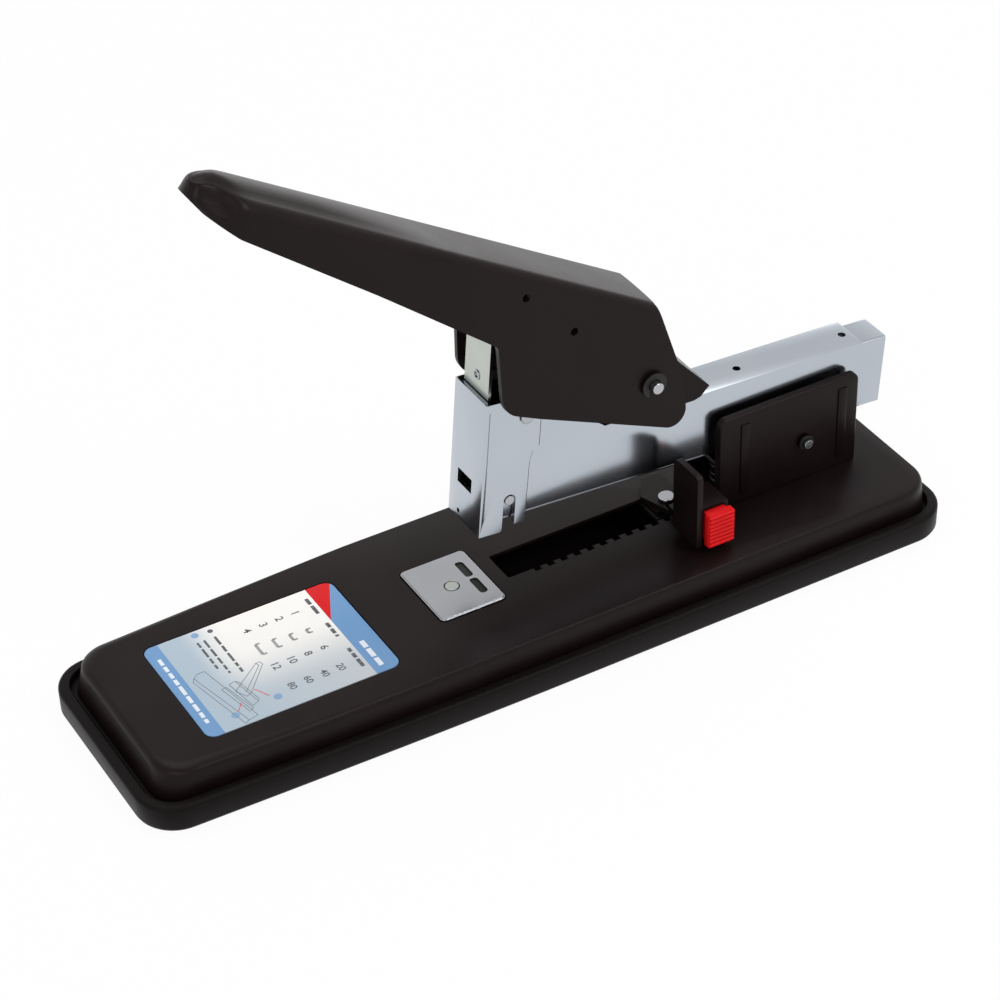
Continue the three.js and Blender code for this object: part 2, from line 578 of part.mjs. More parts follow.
function magazineChannel() {
  const front = -REACH + 0.9;
  const web = front + 22;
  const side = [
    [front, channelBottom(front)], [CHANNEL_REAR, channelBottom(CHANNEL_REAR)],
    [CHANNEL_REAR, channelTop(CHANNEL_REAR)], [-REACH + 38.6, channelTop(-REACH + 38.6)],
    [-REACH + 36.6, 23.5], [-REACH + 30.1, 26.4], [-REACH + 23.4, 28.6], [-REACH + 13.5, 32.6],
    [-REACH + 11, 37.5, 2], [-REACH + 2.6, 37.5, 1], [-REACH + 2.6, 24], [front, 24],
  ];
  const body = prism('y', side, -CHANNEL_HALF_WIDTH, CHANNEL_HALF_WIDTH);
  const underWeb = [
    [front - 1, -5], [CHANNEL_REAR + 1, -5],
    [CHANNEL_REAR + 1, channelTop(CHANNEL_REAR + 1) - CHANNEL_WALL],
    [web, channelTop(web) - CHANNEL_WALL], [web, 45], [front - 1, 45],
  ];
  const overWeb = [
    [web - 1, channelTop(web - 1)], [CHANNEL_REAR, channelTop(CHANNEL_REAR)], [CHANNEL_REAR, 45],
    [web - 1, 45],
  ];
  return cut(body, [
    prism('y', underWeb, -CHANNEL_INNER, CHANNEL_INNER),
    prism('y', overWeb, -CHANNEL_INNER, CHANNEL_INNER),
    rod('z', -19.5, 0, 1.2, 20, 30, 16),
    rod('z', 17.5, 0, 1.2, 20, 30, 16),
    rod('y', HEAD_RIVET.x, HEAD_RIVET.z, 1.2 + 0.2, -20, 20, 16),
    rod('y', HEAD_PIN.x, HEAD_PIN.z, 1.1 + 0.2, -20, 20, 16),
  ]);
}

const HEAD_RIVET = { x: -REACH + 11, z: 34.2 };
const HEAD_PIN = { x: -REACH + 7.3, z: 7.5 };

// The plates stay inside the bracket's flanges; the heel behind the pin is the stop of the lift.
function hingeCradle() {
  const side = [
    [-28.5, -3.5, 1], [-4.5, -3.5], [3.5, -11.3], [10.6, -10.85], [13, -4], [13, 12, 2], [-26, 12, 2],
    [-28.5, 8],
  ];
  const plate = (s) => prism('y', side, ...span(s, CHANNEL_HALF_WIDTH + FIT, CRADLE_HALF_WIDTH));
  const floor = box(-28.5 + 0.8, -8, -CHANNEL_HALF_WIDTH - 1, CHANNEL_HALF_WIDTH + 1, -3.5, -2.3);
  return join([bothSides(plate), floor]).subtract(rod('y', 0, 0, PIVOT_RADIUS + 0.2, -20, 20));
}

function magazineHead() {
  const rearLeg = -REACH + 12.6;
  const side = [
    [HEAD_FRONT, HEAD_BOTTOM], [-REACH + 4.9, HEAD_BOTTOM], [-REACH + 5.35, -1.6],
    [-REACH + 5.35, 9.45, 1.93], [-REACH + 9.25, 9.45, 1.93], [-REACH + 9.25, -0.9],
    [rearLeg, -0.9], [rearLeg + 0.3, 19],
    [rearLeg + 1.1, 22.1], [rearLeg + 3.1, 23.4], [rearLeg + 3.1, HEAD_TOP, 2], [HEAD_FRONT, HEAD_TOP],
  ];
  const inner = HEAD_HALF_WIDTH - HEAD_SHEET;
  const rivetHole = rod('y', HEAD_RIVET.x, HEAD_RIVET.z, 1.2 + 0.2, -20, 20, 16);
  return cut(prism('y', side, -HEAD_HALF_WIDTH, HEAD_HALF_WIDTH), [
    box(HEAD_FRONT + HEAD_FRONT_SHEET, 0, -inner, inner, HEAD_BOTTOM - 1, HEAD_TOP + 1),
    box(HEAD_FRONT - 1, HEAD_FRONT + 2, -3, 4.5, 9.1, 13.6),
    rod('x', 3.2, -0.3, 0.8, HEAD_FRONT - 1, HEAD_FRONT + 2, 12),
    rivetHole,
  ]);
}

function driverGuide() {
  const x0 = -REACH + 0.8;
  const half = HEAD_HALF_WIDTH - HEAD_SHEET - FIT;
  const plate = box(x0, x0 + 1.3, -half, half, 25, 40);
  return plate.subtract(box(x0 - 1, x0 + 3, -5.4, 5.4, 31.2, 41));
}

function headRivet(s) {
  return join([
    rod('y', HEAD_RIVET.x, HEAD_RIVET.z, 1.2, ...span(s, CHANNEL_INNER - 0.2, HEAD_HALF_WIDTH + 0.4), 16),
    rod('y', HEAD_RIVET.x, HEAD_RIVET.z, 2, ...span(s, HEAD_HALF_WIDTH + 0.2, HEAD_HALF_WIDTH + 0.8), 20),
  ]);
}

// The pin sits at the closed end of the open slots in the head's side plates and is carried by the channel.
function headPin(s) {
  return rod('y', HEAD_PIN.x, HEAD_PIN.z, 1.1, ...span(s, CHANNEL_INNER - 0.05, HEAD_HALF_WIDTH), 16)
    .add(rod('y', HEAD_PIN.x, HEAD_PIN.z, 1.5, ...span(s, HEAD_HALF_WIDTH - 1.4, HEAD_HALF_WIDTH + 0.2), 18));
}

function handleYoke() {
  const front = HANDLE_PIVOT.x - 8.6;
  const rear = HANDLE_PIVOT.x + 22.5;
  const foot = (x) => channelTop(x) + FIT;
  const side = [
    [front, foot(front) + 4.5], [front + 5.5, foot(front + 5.5)], [rear - 4.8, foot(rear - 4.8)],
    [rear - 2.6, foot(rear - 4.8) + 0.8], [rear - 1.3, 26], [rear, 27.4], [rear - 13.2, 39.9],
    [rear - 16.8, 42.6, 3], [rear - 26.8, 42.6, 4], [front, 30, 2],
  ];
  const inner = YOKE_HALF_WIDTH - YOKE_SHEET;
  const hollow = [
    [front - 1, foot(front) + 1.4], [rear - 6.8, foot(rear - 6.8) + 1.4], [rear - 2.7, 27.4],
    [rear - 15.8, 39.9], [rear - 15.8, 50], [front - 1, 50],
  ];
  return cut(prism('y', side, -YOKE_HALF_WIDTH, YOKE_HALF_WIDTH), [
    prism('y', hollow, -inner, inner),
    rod('y', HANDLE_PIVOT.x, HANDLE_PIVOT.z, HANDLE_PIN_RADIUS + 0.25, -20, 20),
  ]);
}

function handleWidth(z) {
  const below = Math.max(0, HANDLE_TOP - HANDLE_EDGE_RADIUS - z);
  return HANDLE_HALF_WIDTH + below * HANDLE_FLARE;
}

function handlePivotPin() {
  const reach = handleWidth(0) + 3.3;
  return rod('y', HANDLE_PIVOT.x, HANDLE_PIVOT.z, HANDLE_PIN_RADIUS, -reach, reach);
}

function pivotBush(s) {
  const [low, high] = span(s, YOKE_HALF_WIDTH + FIT, handleWidth(0) - HANDLE_SHEET - FIT);
  return rod('y', HANDLE_PIVOT.x, HANDLE_PIVOT.z, 3.4, low, high)
    .subtract(rod('y', HANDLE_PIVOT.x, HANDLE_PIVOT.z, HANDLE_PIN_RADIUS + 0.25, low - 1, high + 1));
}

function returnSpring() {
  const x = HANDLE_PIVOT.x - 17.8;
  const foot = channelTop(x) + 0.35;
  const spring = coil(3.9, 1, 7.5, HANDLE_PIVOT.z + 28.97 - foot, 11);
  spring.translate(x, 0, foot);
  return spring;
}

// ---------------------------------------------------------------- staple rail, in the rail's frame
const RAIL_FRONT = -REACH + 2.1;
const ROD_HEIGHT = 11;

function stapleRail() {
  const side = 0.8;
  const plateTop = RAIL_FLOOR + RAIL_PLATE;
  const half = CHANNEL_HALF_WIDTH - 0.4;
  const plate = box(RAIL_FRONT, CHANNEL_REAR - 0.5, -half, half, RAIL_FLOOR, plateTop);
  const wall = (s) => {
    const [low, high] = span(s, RAIL_HALF_WIDTH - side, RAIL_HALF_WIDTH);
    return box(RAIL_FRONT, CAP_REAR - 3, low, high, plateTop - 0.3, RAIL_HEIGHT);
  };
  const nose = box(RAIL_FRONT, RAIL_FRONT + 1, -RAIL_HALF_WIDTH, RAIL_HALF_WIDTH, RAIL_FLOOR, RAIL_FLOOR + 4);
  return join([plate, bothSides(wall), nose]);
}

function railEndCap() {
  const z0 = RAIL_FLOOR + 0.1;
  const rearPart = rounded(-CHANNEL_INNER, CHANNEL_INNER, z0, CAP_TOP + 0.8, 1);
  const half = CHANNEL_INNER - FIT;
  const groove = RAIL_HALF_WIDTH + FIT;
  const rim = prism('x', rearPart, CHANNEL_REAR + 0.8, CAP_REAR);
  const plateTop = RAIL_FLOOR + RAIL_PLATE;
  const tongue = box(CHANNEL_REAR - 10, CHANNEL_REAR + 2, -half, half, plateTop + FIT, CAP_TOP);
  return cut(tongue.add(rim), [
    box(CHANNEL_REAR - 11, CAP_REAR - 1.2, -groove, groove, RAIL_FLOOR - 1, RAIL_HEIGHT + FIT),
    box(CHANNEL_REAR - 11, CAP_REAR - 1.2, -groove + 0.2, groove - 0.2, RAIL_HEIGHT - 2, CAP_TOP - 1),
  ]);
}

function guideRod() {
  return rod('x', 0, ROD_HEIGHT, 0.9, RAIL_FRONT + 1, CAP_REAR - 1.5, 12);
}

function pusher() {
  const x0 = -REACH + 1.2;
  const z0 = RAIL_FLOOR + RAIL_PLATE + 0.35;
  const half = CHANNEL_INNER - 0.4;
  const block = box(x0, x0 + 14, -half, half, z0, RAIL_HEIGHT + 1.1);
  const slots = [-1, 1].map((s) => {
    const [low, high] = span(s, RAIL_HALF_WIDTH - 1.1, RAIL_HALF_WIDTH + 0.3);
    return box(x0 - 1, x0 + 15, low, high, z0 - 1, RAIL_HEIGHT + 0.3);
  });
  return cut(block, [
    ...slots, rod('x', 0, ROD_HEIGHT, 1.2, x0 - 1, x0 + 15, 12),
    box(x0 - 1, x0 + 2.2, -RAIL_HALF_WIDTH, RAIL_HALF_WIDTH, z0 - 1, RAIL_FLOOR + 4.4),
  ]);
}

function pusherSpring() {
  const front = -REACH + 15.5;
  const spring = coil(2, 0.6, 13, CAP_REAR - 1.5 - front, 8);
  spring.rotateY(Math.PI / 2);
  spring.translate(front, 0, ROD_HEIGHT);
  return spring;
}

// ---------------------------------------------------------------- driver
function driverBlade() {
  const half = BLADE_WIDTH / 2;
  const face = [[-half, BLADE_BOTTOM], [half, BLADE_BOTTOM], [half, BLADE_TOP, 2], [-half, BLADE_TOP, 2]];
  return prism('x', face, -REACH - BLADE_THICKNESS / 2, -REACH + BLADE_THICKNESS / 2)
    .subtract(rod('x', 0, BLADE_RIVET_HEIGHT, 1.2 + 0.15, -REACH - 3, -REACH + 3, 16));
}

function driverCarrier() {
  const x0 = -REACH + BLADE_THICKNESS / 2 + 0.25;
  const side = [
    [x0, 53], [x0 + 2, 53], [LINK_PIN.x + 2.6, LINK_PIN.z - 2.6, 2], [LINK_PIN.x + 2.6, LINK_PIN.z + 2.6, 2],
    [x0 + 1.6, LINK_PIN.z + 4], [x0, LINK_PIN.z + 4],
  ];
  return prism('y', side, -3.1, 3.1)
    .subtract(rod('y', LINK_PIN.x, LINK_PIN.z, LINK_PIN.r + 0.2, -9, 9));
}

function driverLinkPin() {
  return rod('y', LINK_PIN.x, LINK_PIN.z, LINK_PIN.r, -5.3, 5.3);
}

function driverRivet() {
  const front = -REACH - BLADE_THICKNESS / 2;
  return rod('x', 0, BLADE_RIVET_HEIGHT, 1.2, front - 0.2, -REACH + BLADE_THICKNESS / 2, 16)
    .add(rod('x', 0, BLADE_RIVET_HEIGHT, 2, front - 0.28, front - 0.15, 20));
}

// ---------------------------------------------------------------- handle, in its own frame
const NOSE_WIDTHS = [[15, 1], [11.5, 0.97], [7.5, 0.87], [4, 0.68], [1.6, 0.45], [0.2, 0.2]];

// Plan outline at one height; inset moves it inwards for the hollow.
function handlePlan(z, halfWidth, inset, rear) {
  const half = halfWidth - inset;
  const far = NOSE_WIDTHS.map(([back, share]) => [HANDLE_NOSE + inset + back, half * share]);
  const side = [[rear, half], ...far];
  return [
    ...side.map(([x, y]) => new THREE.Vector3(x, y, z)),
    ...side.map(([x, y]) => new THREE.Vector3(x, -y, z)).reverse(),
  ];
}

function handleLoft(inset, bottom, top, rear) {
  const edge = HANDLE_TOP - HANDLE_EDGE_RADIUS;
  const radius = HANDLE_EDGE_RADIUS - inset;
  const rings = [
    handlePlan(bottom, handleWidth(bottom), inset, rear), handlePlan(edge, HANDLE_HALF_WIDTH, inset, rear),
  ];
  [30, 60, 90].forEach((degrees) => {
    const angle = THREE.MathUtils.degToRad(degrees);
    const halfWidth = HANDLE_HALF_WIDTH - radius * (1 - Math.cos(angle));
    rings.push(handlePlan(edge + radius * Math.sin(angle), halfWidth, inset, rear));
  });
  const flat = HANDLE_HALF_WIDTH - radius;
  [0.4, 0.75].forEach((share) => {
    rings.push(handlePlan(HANDLE_TOP + HANDLE_CROWN * share, flat * Math.sqrt(1 - share), inset, rear));
  });
  rings.push(handlePlan(top, flat * 0.25, inset, rear));
  return loft(rings);
}

function handleShell() {
  const n = HANDLE_NOSE;
  const side = [
    [-10.65, HANDLE_TOP], [9.7, 3.9, 6], [20, -10.6, 4.8], [-33, -16.4], [-45.8, -17.5, 4.5],
    [-57, 0.2, 2], [-100.9, 6.7], [n + 13.6, 12.7], [n + 7.4, 14.3], [n + 3.2, 15.4], [n, 16.9],
    [n, 20.5], [n + 1.2, 21.6], [n + 2.6, 22.5], [n + 4.4, 23.3], [n + 7, HANDLE_TOP + HANDLE_CROWN],
    [-135, HANDLE_TOP + HANDLE_CROWN], [-70, HANDLE_TOP],
  ].reverse();
  const inner = HANDLE_TOP - HANDLE_SHEET;
  const hollow = [
    [40, -40], [40, inner], [n + 9, inner], [n + 5.5, inner - 1.2], [n + 5.5, -40],
  ].reverse();
  const body = prism('y', side, -20, 20).intersect(handleLoft(0, -22, HANDLE_TOP + 2.5, 20));
  const room = prism('y', hollow, -20, 20).intersect(handleLoft(HANDLE_SHEET, -23, HANDLE_TOP + 2.4, 30));
  return cut(body, [
    room,
    rod('y', 0, 0, HANDLE_PIN_RADIUS + 0.25, -20, 20),
    rod('y', -55.1, 15.3, 1.2, -20, 20, 14),
    rod('y', -34.6, 9.4, 1.2, -20, 20, 14),
  ]);
}

// Two ears with slots that are open to the front; the driver's pin slides in them.
function handleLinkBracket() {
  const top = HANDLE_TOP - HANDLE_SHEET - FIT;
  const rest = -47.7;
  const middle = -0.09;
  const half = LINK_PIN.r + 0.5;
  const ear = [
    [rest - 0.3, middle - half - 2], [rest + 8.5, middle - half - 2, 2], [-30, top], [rest - 0.3, top],
  ];
  const slot = [
    [rest - 3, middle - half], [rest + 6.9, middle - half, half - 0.05],
    [rest + 6.9, middle + half, half - 0.05], [rest - 3, middle + half],
  ];
  const plate = (s) => prism('y', ear, ...span(s, 3.5, 4.9));
  const web = box(rest - 0.3, -30, -4.9, 4.9, top - 1.4, top);
  return join([bothSides(plate), web]).subtract(prism('y', slot, -9, 9));
}

// ---------------------------------------------------------------- assembly
place(root, 'base_pad', basePad(), PLASTIC);
place(root, 'base_shell', baseShell(), PAINT);
postPlaces().forEach((at, i) => place(root, `base_screw_${i + 1}`, baseScrew(at), PLATED));
place(root, 'label', label(), PRINT);
place(root, 'anvil_plate', anvilPlate(), STEEL);
place(root, 'anvil_rivet', anvilRivet(), STEEL);
place(root, 'hinge_bracket', hingeBracket(), PAINT);
bracketRivetPlaces().forEach((x, i) => place(root, `bracket_rivet_${i + 1}`, bracketRivet(x), DARK_STEEL));
place(root, 'magazine_pivot_pin', magazinePivotPin(), PLATED);
place(root, 'lift_spring', liftSpring(), DARK_STEEL);
place(root, 'guide_carriage', guideCarriage(), PAINT);
place(root, 'paper_stop', paperStop(), PAINT);
place(root, 'guide_rivet', guideRivet(), PLATED);
place(root, 'slider_block', sliderBlock(), PLASTIC);
place(root, 'slider_retainer', sliderRetainer(), DARK_STEEL);
place(root, 'release_button', releaseButton(), RED);
place(root, 'release_pawl', releasePawl(), DARK_STEEL);
place(root, 'button_spring', buttonSpring(), STEEL);

place(magazine, 'magazine_channel', magazineChannel(), ZINC);
place(magazine, 'hinge_cradle', hingeCradle(), ZINC);
place(magazine, 'magazine_head', magazineHead(), ZINC);
place(magazine, 'driver_guide', driverGuide(), STEEL);
place(magazine, 'handle_yoke', handleYoke(), PAINT);
place(magazine, 'handle_pivot_pin', handlePivotPin(), PLATED);
place(magazine, 'return_spring', returnSpring(), STEEL);
[['near', -1], ['far', 1]].forEach(([side, s]) => {
  place(root, `pivot_clip_${side}`, clipRing(s, PIVOT_X, PIVOT_Z, PIVOT_RADIUS + 0.12, 2.4,
    BRACKET_HALF_WIDTH + 0.8, 0.8), DARK_STEEL);
  place(magazine, `head_rivet_${side}`, headRivet(s), PLATED);
  place(magazine, `head_pin_${side}`, headPin(s), PLATED);
  place(magazine, `pivot_bush_${side}`, pivotBush(s), STEEL);
  place(magazine, `handle_clip_${side}`, clipRing(s, HANDLE_PIVOT.x, HANDLE_PIVOT.z, HANDLE_PIN_RADIUS + 0.12, 3.9,
    handleWidth(0) + 0.5, 0.8), DARK_STEEL);
});

place(rail, 'staple_rail', stapleRail(), ZINC);
place(rail, 'rail_end_cap', railEndCap(), ZINC);
place(rail, 'guide_rod', guideRod(), STEEL);
place(rail, 'pusher', pusher(), STEEL);
place(rail, 'pusher_spring', pusherSpring(), STEEL);

place(magazine, 'driver_blade', driverBlade(), STEEL);
place(magazine, 'driver_carrier', driverCarrier(), ZINC);
place(magazine, 'driver_link_pin', driverLinkPin(), PLATED);
place(magazine, 'driver_rivet', driverRivet(), PLATED);

place(handle, 'handle_shell', handleShell(), PAINT);
place(handle, 'handle_link_bracket', handleLinkBracket(), ZINC);

export default root;
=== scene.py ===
"""Long-arm desktop stapler: its visible pieces and their finishes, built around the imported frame."""

import json
import math

import bmesh
import bpy
import numpy as np
from mathutils import Matrix, Vector

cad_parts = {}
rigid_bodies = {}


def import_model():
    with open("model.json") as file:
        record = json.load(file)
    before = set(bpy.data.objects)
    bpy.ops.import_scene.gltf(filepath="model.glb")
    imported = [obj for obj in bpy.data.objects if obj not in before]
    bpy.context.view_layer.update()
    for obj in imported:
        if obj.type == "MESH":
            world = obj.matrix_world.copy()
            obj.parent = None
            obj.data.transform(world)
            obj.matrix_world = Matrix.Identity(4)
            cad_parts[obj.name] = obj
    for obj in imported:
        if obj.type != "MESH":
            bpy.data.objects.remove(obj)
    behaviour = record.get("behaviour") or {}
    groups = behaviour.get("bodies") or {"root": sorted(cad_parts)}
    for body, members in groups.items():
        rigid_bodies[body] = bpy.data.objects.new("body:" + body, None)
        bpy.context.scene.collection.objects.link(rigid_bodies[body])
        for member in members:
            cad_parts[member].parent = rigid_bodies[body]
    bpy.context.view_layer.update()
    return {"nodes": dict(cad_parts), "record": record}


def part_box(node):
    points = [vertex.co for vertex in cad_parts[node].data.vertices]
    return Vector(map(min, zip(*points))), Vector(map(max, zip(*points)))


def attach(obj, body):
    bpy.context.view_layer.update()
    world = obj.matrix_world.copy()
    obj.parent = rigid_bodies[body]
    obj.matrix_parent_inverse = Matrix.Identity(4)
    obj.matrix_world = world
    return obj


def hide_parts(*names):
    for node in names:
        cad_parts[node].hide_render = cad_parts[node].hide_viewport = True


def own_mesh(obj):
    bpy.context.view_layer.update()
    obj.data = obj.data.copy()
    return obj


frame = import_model()

bl_info = {
    "name": "Long-arm desktop stapler",
    "version": (1, 0, 0),
    "blender": (4, 5, 0),
    "location": "View3D > Sidebar > Stapler",
    "description": "Builds the visible pieces of a desktop stapler around its packed frame",
    "category": "Object",
}

MM = 0.001


def middle(node):
    """The middle of a CAD node's box, in metres."""
    low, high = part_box(node)
    return (low + high) / 2


def limits(node):
    """The low and high corner of a CAD node's box, in millimetres."""
    return [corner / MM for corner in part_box(node)]


# ---------------------------------------------------------------- places read from the frame, in millimetres
SHELL_LOW, SHELL_HIGH = limits("base_shell")
PAD_HIGH = limits("base_pad")[1]
LABEL_LOW, LABEL_HIGH = limits("label")
MAGAZINE_TILT = math.radians(5)
HANDLE_TILT = math.radians(31.07)
PIVOT = middle("magazine_pivot_pin") / MM
HANDLE_PIVOT = middle("handle_pivot_pin") / MM

IDENTITY = Matrix.Identity(4)
MAGAZINE = Matrix.Translation(PIVOT) @ Matrix.Rotation(MAGAZINE_TILT, 4, "Y")
HANDLE = Matrix.Translation(HANDLE_PIVOT) @ Matrix.Rotation(HANDLE_TILT, 4, "Y")


# ---------------------------------------------------------------- node trees
class Wire:
    """An output in a node tree. Arithmetic on it adds Math nodes, so that a pattern reads as a formula."""

    def __init__(self, tree, socket):
        self.tree = tree
        self.socket = socket

    def math(self, operation, *others):
        inputs = dict(enumerate((self, *others)))
        return self.tree.node("ShaderNodeMath", {"operation": operation}, inputs)

    def __add__(self, other):
        return self.math("ADD", other)

    def __sub__(self, other):
        return self.math("SUBTRACT", other)

    def __mul__(self, other):
        return self.math("MULTIPLY", other)

    def __truediv__(self, other):
        return self.math("DIVIDE", other)

    def __rsub__(self, other):
        return self.tree.node("ShaderNodeMath", {"operation": "SUBTRACT"}, {0: other, 1: self})

    def __rtruediv__(self, other):
        return self.tree.node("ShaderNodeMath", {"operation": "DIVIDE"}, {0: other, 1: self})

    __radd__ = __add__
    __rmul__ = __mul__

    def ramp(self, start, end, low=0.0, high=1.0):
        """Goes smoothly from low to high as the value goes from start to end."""
        settings = {"interpolation_type": "SMOOTHSTEP"}
        inputs = {0: self, 1: start, 2: end, 3: low, 4: high}
        return self.tree.node("ShaderNodeMapRange", settings, inputs)

    def largest(self, other):
        return self.math("MAXIMUM", other)


class Tree:
    """A node tree that is written from top to bottom."""

    def __init__(self, tree):
        self.tree = tree

    def node(self, kind, settings=None, inputs=None, output=0):
        """Adds a node; settings are set first, then the values or links of its sockets."""
        made = self.tree.nodes.new(kind)
        for name, value in (settings or {}).items():
            setattr(made, name, value)
        for name, value in (inputs or {}).items():
            if isinstance(value, Wire):
                self.tree.links.new(value.socket, made.inputs[name])
            else:
                made.inputs[name].default_value = value
        return Wire(self, made.outputs[output])


class Finish(Tree):
    """One material. Its patterns read object coordinates, in metres."""

    def __init__(self, name):
        self.material = bpy.data.materials.new(name)
        self.material.use_nodes = True
        super().__init__(self.material.node_tree)
        self.tree.nodes.clear()
        self.place = self.node("ShaderNodeTexCoord", output="Object")

    def axis(self, name):
        """One coordinate of the surface point, in metres."""
        return self.node("ShaderNodeSeparateXYZ", None, {0: self.place}, name)

    def noise(self, cell, detail=2.0, rough=0.5, stretch=(1, 1, 1), seed=0.0):
        """Noise from 0 to 1 whose grains are about one cell wide, in millimetres."""
        shift = {"Vector": self.place, "Scale": stretch, "Location": (seed,) * 3}
        place = self.node("ShaderNodeMapping", None, shift)
        inputs = {"Vector": place, "Scale": 1 / (cell * MM), "Detail": detail, "Roughness": rough}
        return self.node("ShaderNodeTexNoise", {"noise_dimensions": "3D"}, inputs)

    def mix(self, amount, first, second):
        """A colour between two, by an amount from 0 to 1."""
        settings = {"data_type": "RGBA"}
        inputs = {0: amount, 6: colour(first), 7: colour(second)}
        return self.node("ShaderNodeMix", settings, inputs, 2)

    def bump(self, height, depth, strength=1.0):
        """A normal from a height between 0 and 1 that stands for depth, in millimetres."""
        inputs = {"Height": height, "Distance": depth * MM, "Strength": strength}
        return self.node("ShaderNodeBump", None, inputs)

    def surface(self, **sockets):
        """The shader. Socket names are written with underscores."""
        inputs = {name.replace("_", " "): value for name, value in sockets.items()}
        shader = self.node("ShaderNodeBsdfPrincipled", None, inputs)
        end = self.tree.nodes.new("ShaderNodeOutputMaterial")
        self.tree.links.new(shader.socket, end.inputs["Surface"])
        return self.material


def colour(value):
    """A colour socket's value from three numbers, or a wire as it is."""
    return value if isinstance(value, Wire) else (*tuple(value)[:3], 1.0)


# ---------------------------------------------------------------- finishes
def satin_paint(look):
    """Powder coat: a fine orange peel, a little dust, and a roughness that wanders."""
    f = Finish("satin_paint")
    peel = f.noise(0.7, 1.5, 0.45)
    cloud = f.noise(24, 3, 0.55, seed=3.1)
    speck = f.noise(0.9, 2, 0.6, seed=8.7).ramp(0.68, 0.76)
    tone = f.mix(cloud.ramp(0.3, 0.7), look.paint, [c * 1.3 for c in look.paint])
    return f.surface(
        Base_Color=f.mix(speck * 0.06, tone, (0.06, 0.055, 0.05)), Specular_IOR_Level=0.1,
        Roughness=cloud.ramp(0.25, 0.75, 0.31, 0.37) + peel * 0.04, Normal=f.bump(peel, 0.009, 0.5),
    )


def moulded_plastic(look):
    """Fine eroded grain of a moulded base."""
    f = Finish("moulded_plastic")
    grain = f.noise(0.32, 3, 0.6)
    cloud = f.noise(30, 2, 0.5, seed=1.7)
    return f.surface(
        Base_Color=f.mix(cloud, look.plastic, [c * 1.3 for c in look.plastic]), Specular_IOR_Level=0.06,
        Roughness=grain.ramp(0.3, 0.7, 0.4, 0.5), Normal=f.bump(grain, 0.02, 0.45),
    )


def metal(name, base, rough, cell, along, streak, dark=0.9):
    """Sheet or ground metal: cloudy plating, and rolling marks that run along one axis."""
    f = Finish(name)
    cloud = f.noise(cell, 2, 0.5, seed=2.3)
    stretch = [0.04 if axis == along else 1.0 for axis in "xyz"]
    marks = f.noise(0.5, 2, 0.5, stretch=stretch, seed=5.9)
    scratch = f.noise(0.5, 1, 0.4, stretch=stretch[::-1], seed=11.0).ramp(0.7, 0.8)
    tone = f.mix(cloud.ramp(0.2, 0.8), [c * dark for c in base], base)
    return f.surface(
        Base_Color=f.mix(scratch * 0.12, tone, [c * 0.85 for c in base]), Metallic=1.0,
        Roughness=cloud.ramp(0.2, 0.8, rough * 0.92, rough * 1.08) + marks * 0.04,
        Normal=f.bump(marks, streak, 0.3),
    )


def red_plastic(look):
    """Moulded red plastic with a faint grain."""
    f = Finish("red_moulding")
    grain = f.noise(0.25, 2, 0.5)
    shade = f.noise(6, 2, 0.5, seed=4.0)
    return f.surface(
        Base_Color=f.mix(shade.ramp(0.3, 0.7), look.red, [c * 0.86 for c in look.red]),
        Specular_IOR_Level=0.12, Roughness=grain.ramp(0.3, 0.7, 0.34, 0.42), Normal=f.bump(grain, 0.012, 0.4),
    )


def label_film(look):
    """Printed film: bands at both ends, a red corner and a light field, all in flat inks."""
    f = Finish("label_film")
    x, y = f.axis("X"), f.axis("Y")
    x0, x1, y0, y1 = (v * MM for v in (LABEL_LOW.x, LABEL_HIGH.x, LABEL_LOW.y, LABEL_HIGH.y))
    front = 1 - x.ramp(x0 + 4.85 * MM, x0 + 4.95 * MM)
    rear = x.ramp(x1 - 7.95 * MM, x1 - 7.85 * MM)
    corner = rear * (1 - ((y1 - y) / ((y1 - y0) * 0.37) - (x1 - x) / (7.9 * MM)).ramp(-0.01, 0.01))
    fade = f.noise(18, 2, 0.4, seed=6.0)
    field = f.mix(x.ramp(x0, x1), look.film_blue, look.film)
    warm = y.ramp(y0 + 6 * MM, y1 - 14 * MM) * x.ramp(x0 + 10 * MM, x0 + 24 * MM)
    field = f.mix(warm, field, look.film_warm)
    tone = f.mix(front.largest(rear), field, look.print_blue)
    tone = f.mix(corner, tone, [c * 0.9 for c in look.red])
    return f.surface(
        Base_Color=f.mix(fade.ramp(0.3, 0.7, 0.0, 0.04), tone, (0.5, 0.55, 0.6)),
        Roughness=fade.ramp(0.3, 0.7, 0.3, 0.4), Specular_IOR_Level=0.06,
        Coat_Weight=0.03, Coat_Roughness=0.15,
    )


def ink(name, base):
    """A printed ink: a little paler where the film shows through."""
    f = Finish(name)
    grain = f.noise(0.4, 2, 0.5)
    tone = f.mix(grain.ramp(0.35, 0.75, 0.0, 0.35), base, (0.45, 0.48, 0.5))
    return f.surface(Base_Color=tone, Roughness=0.4)


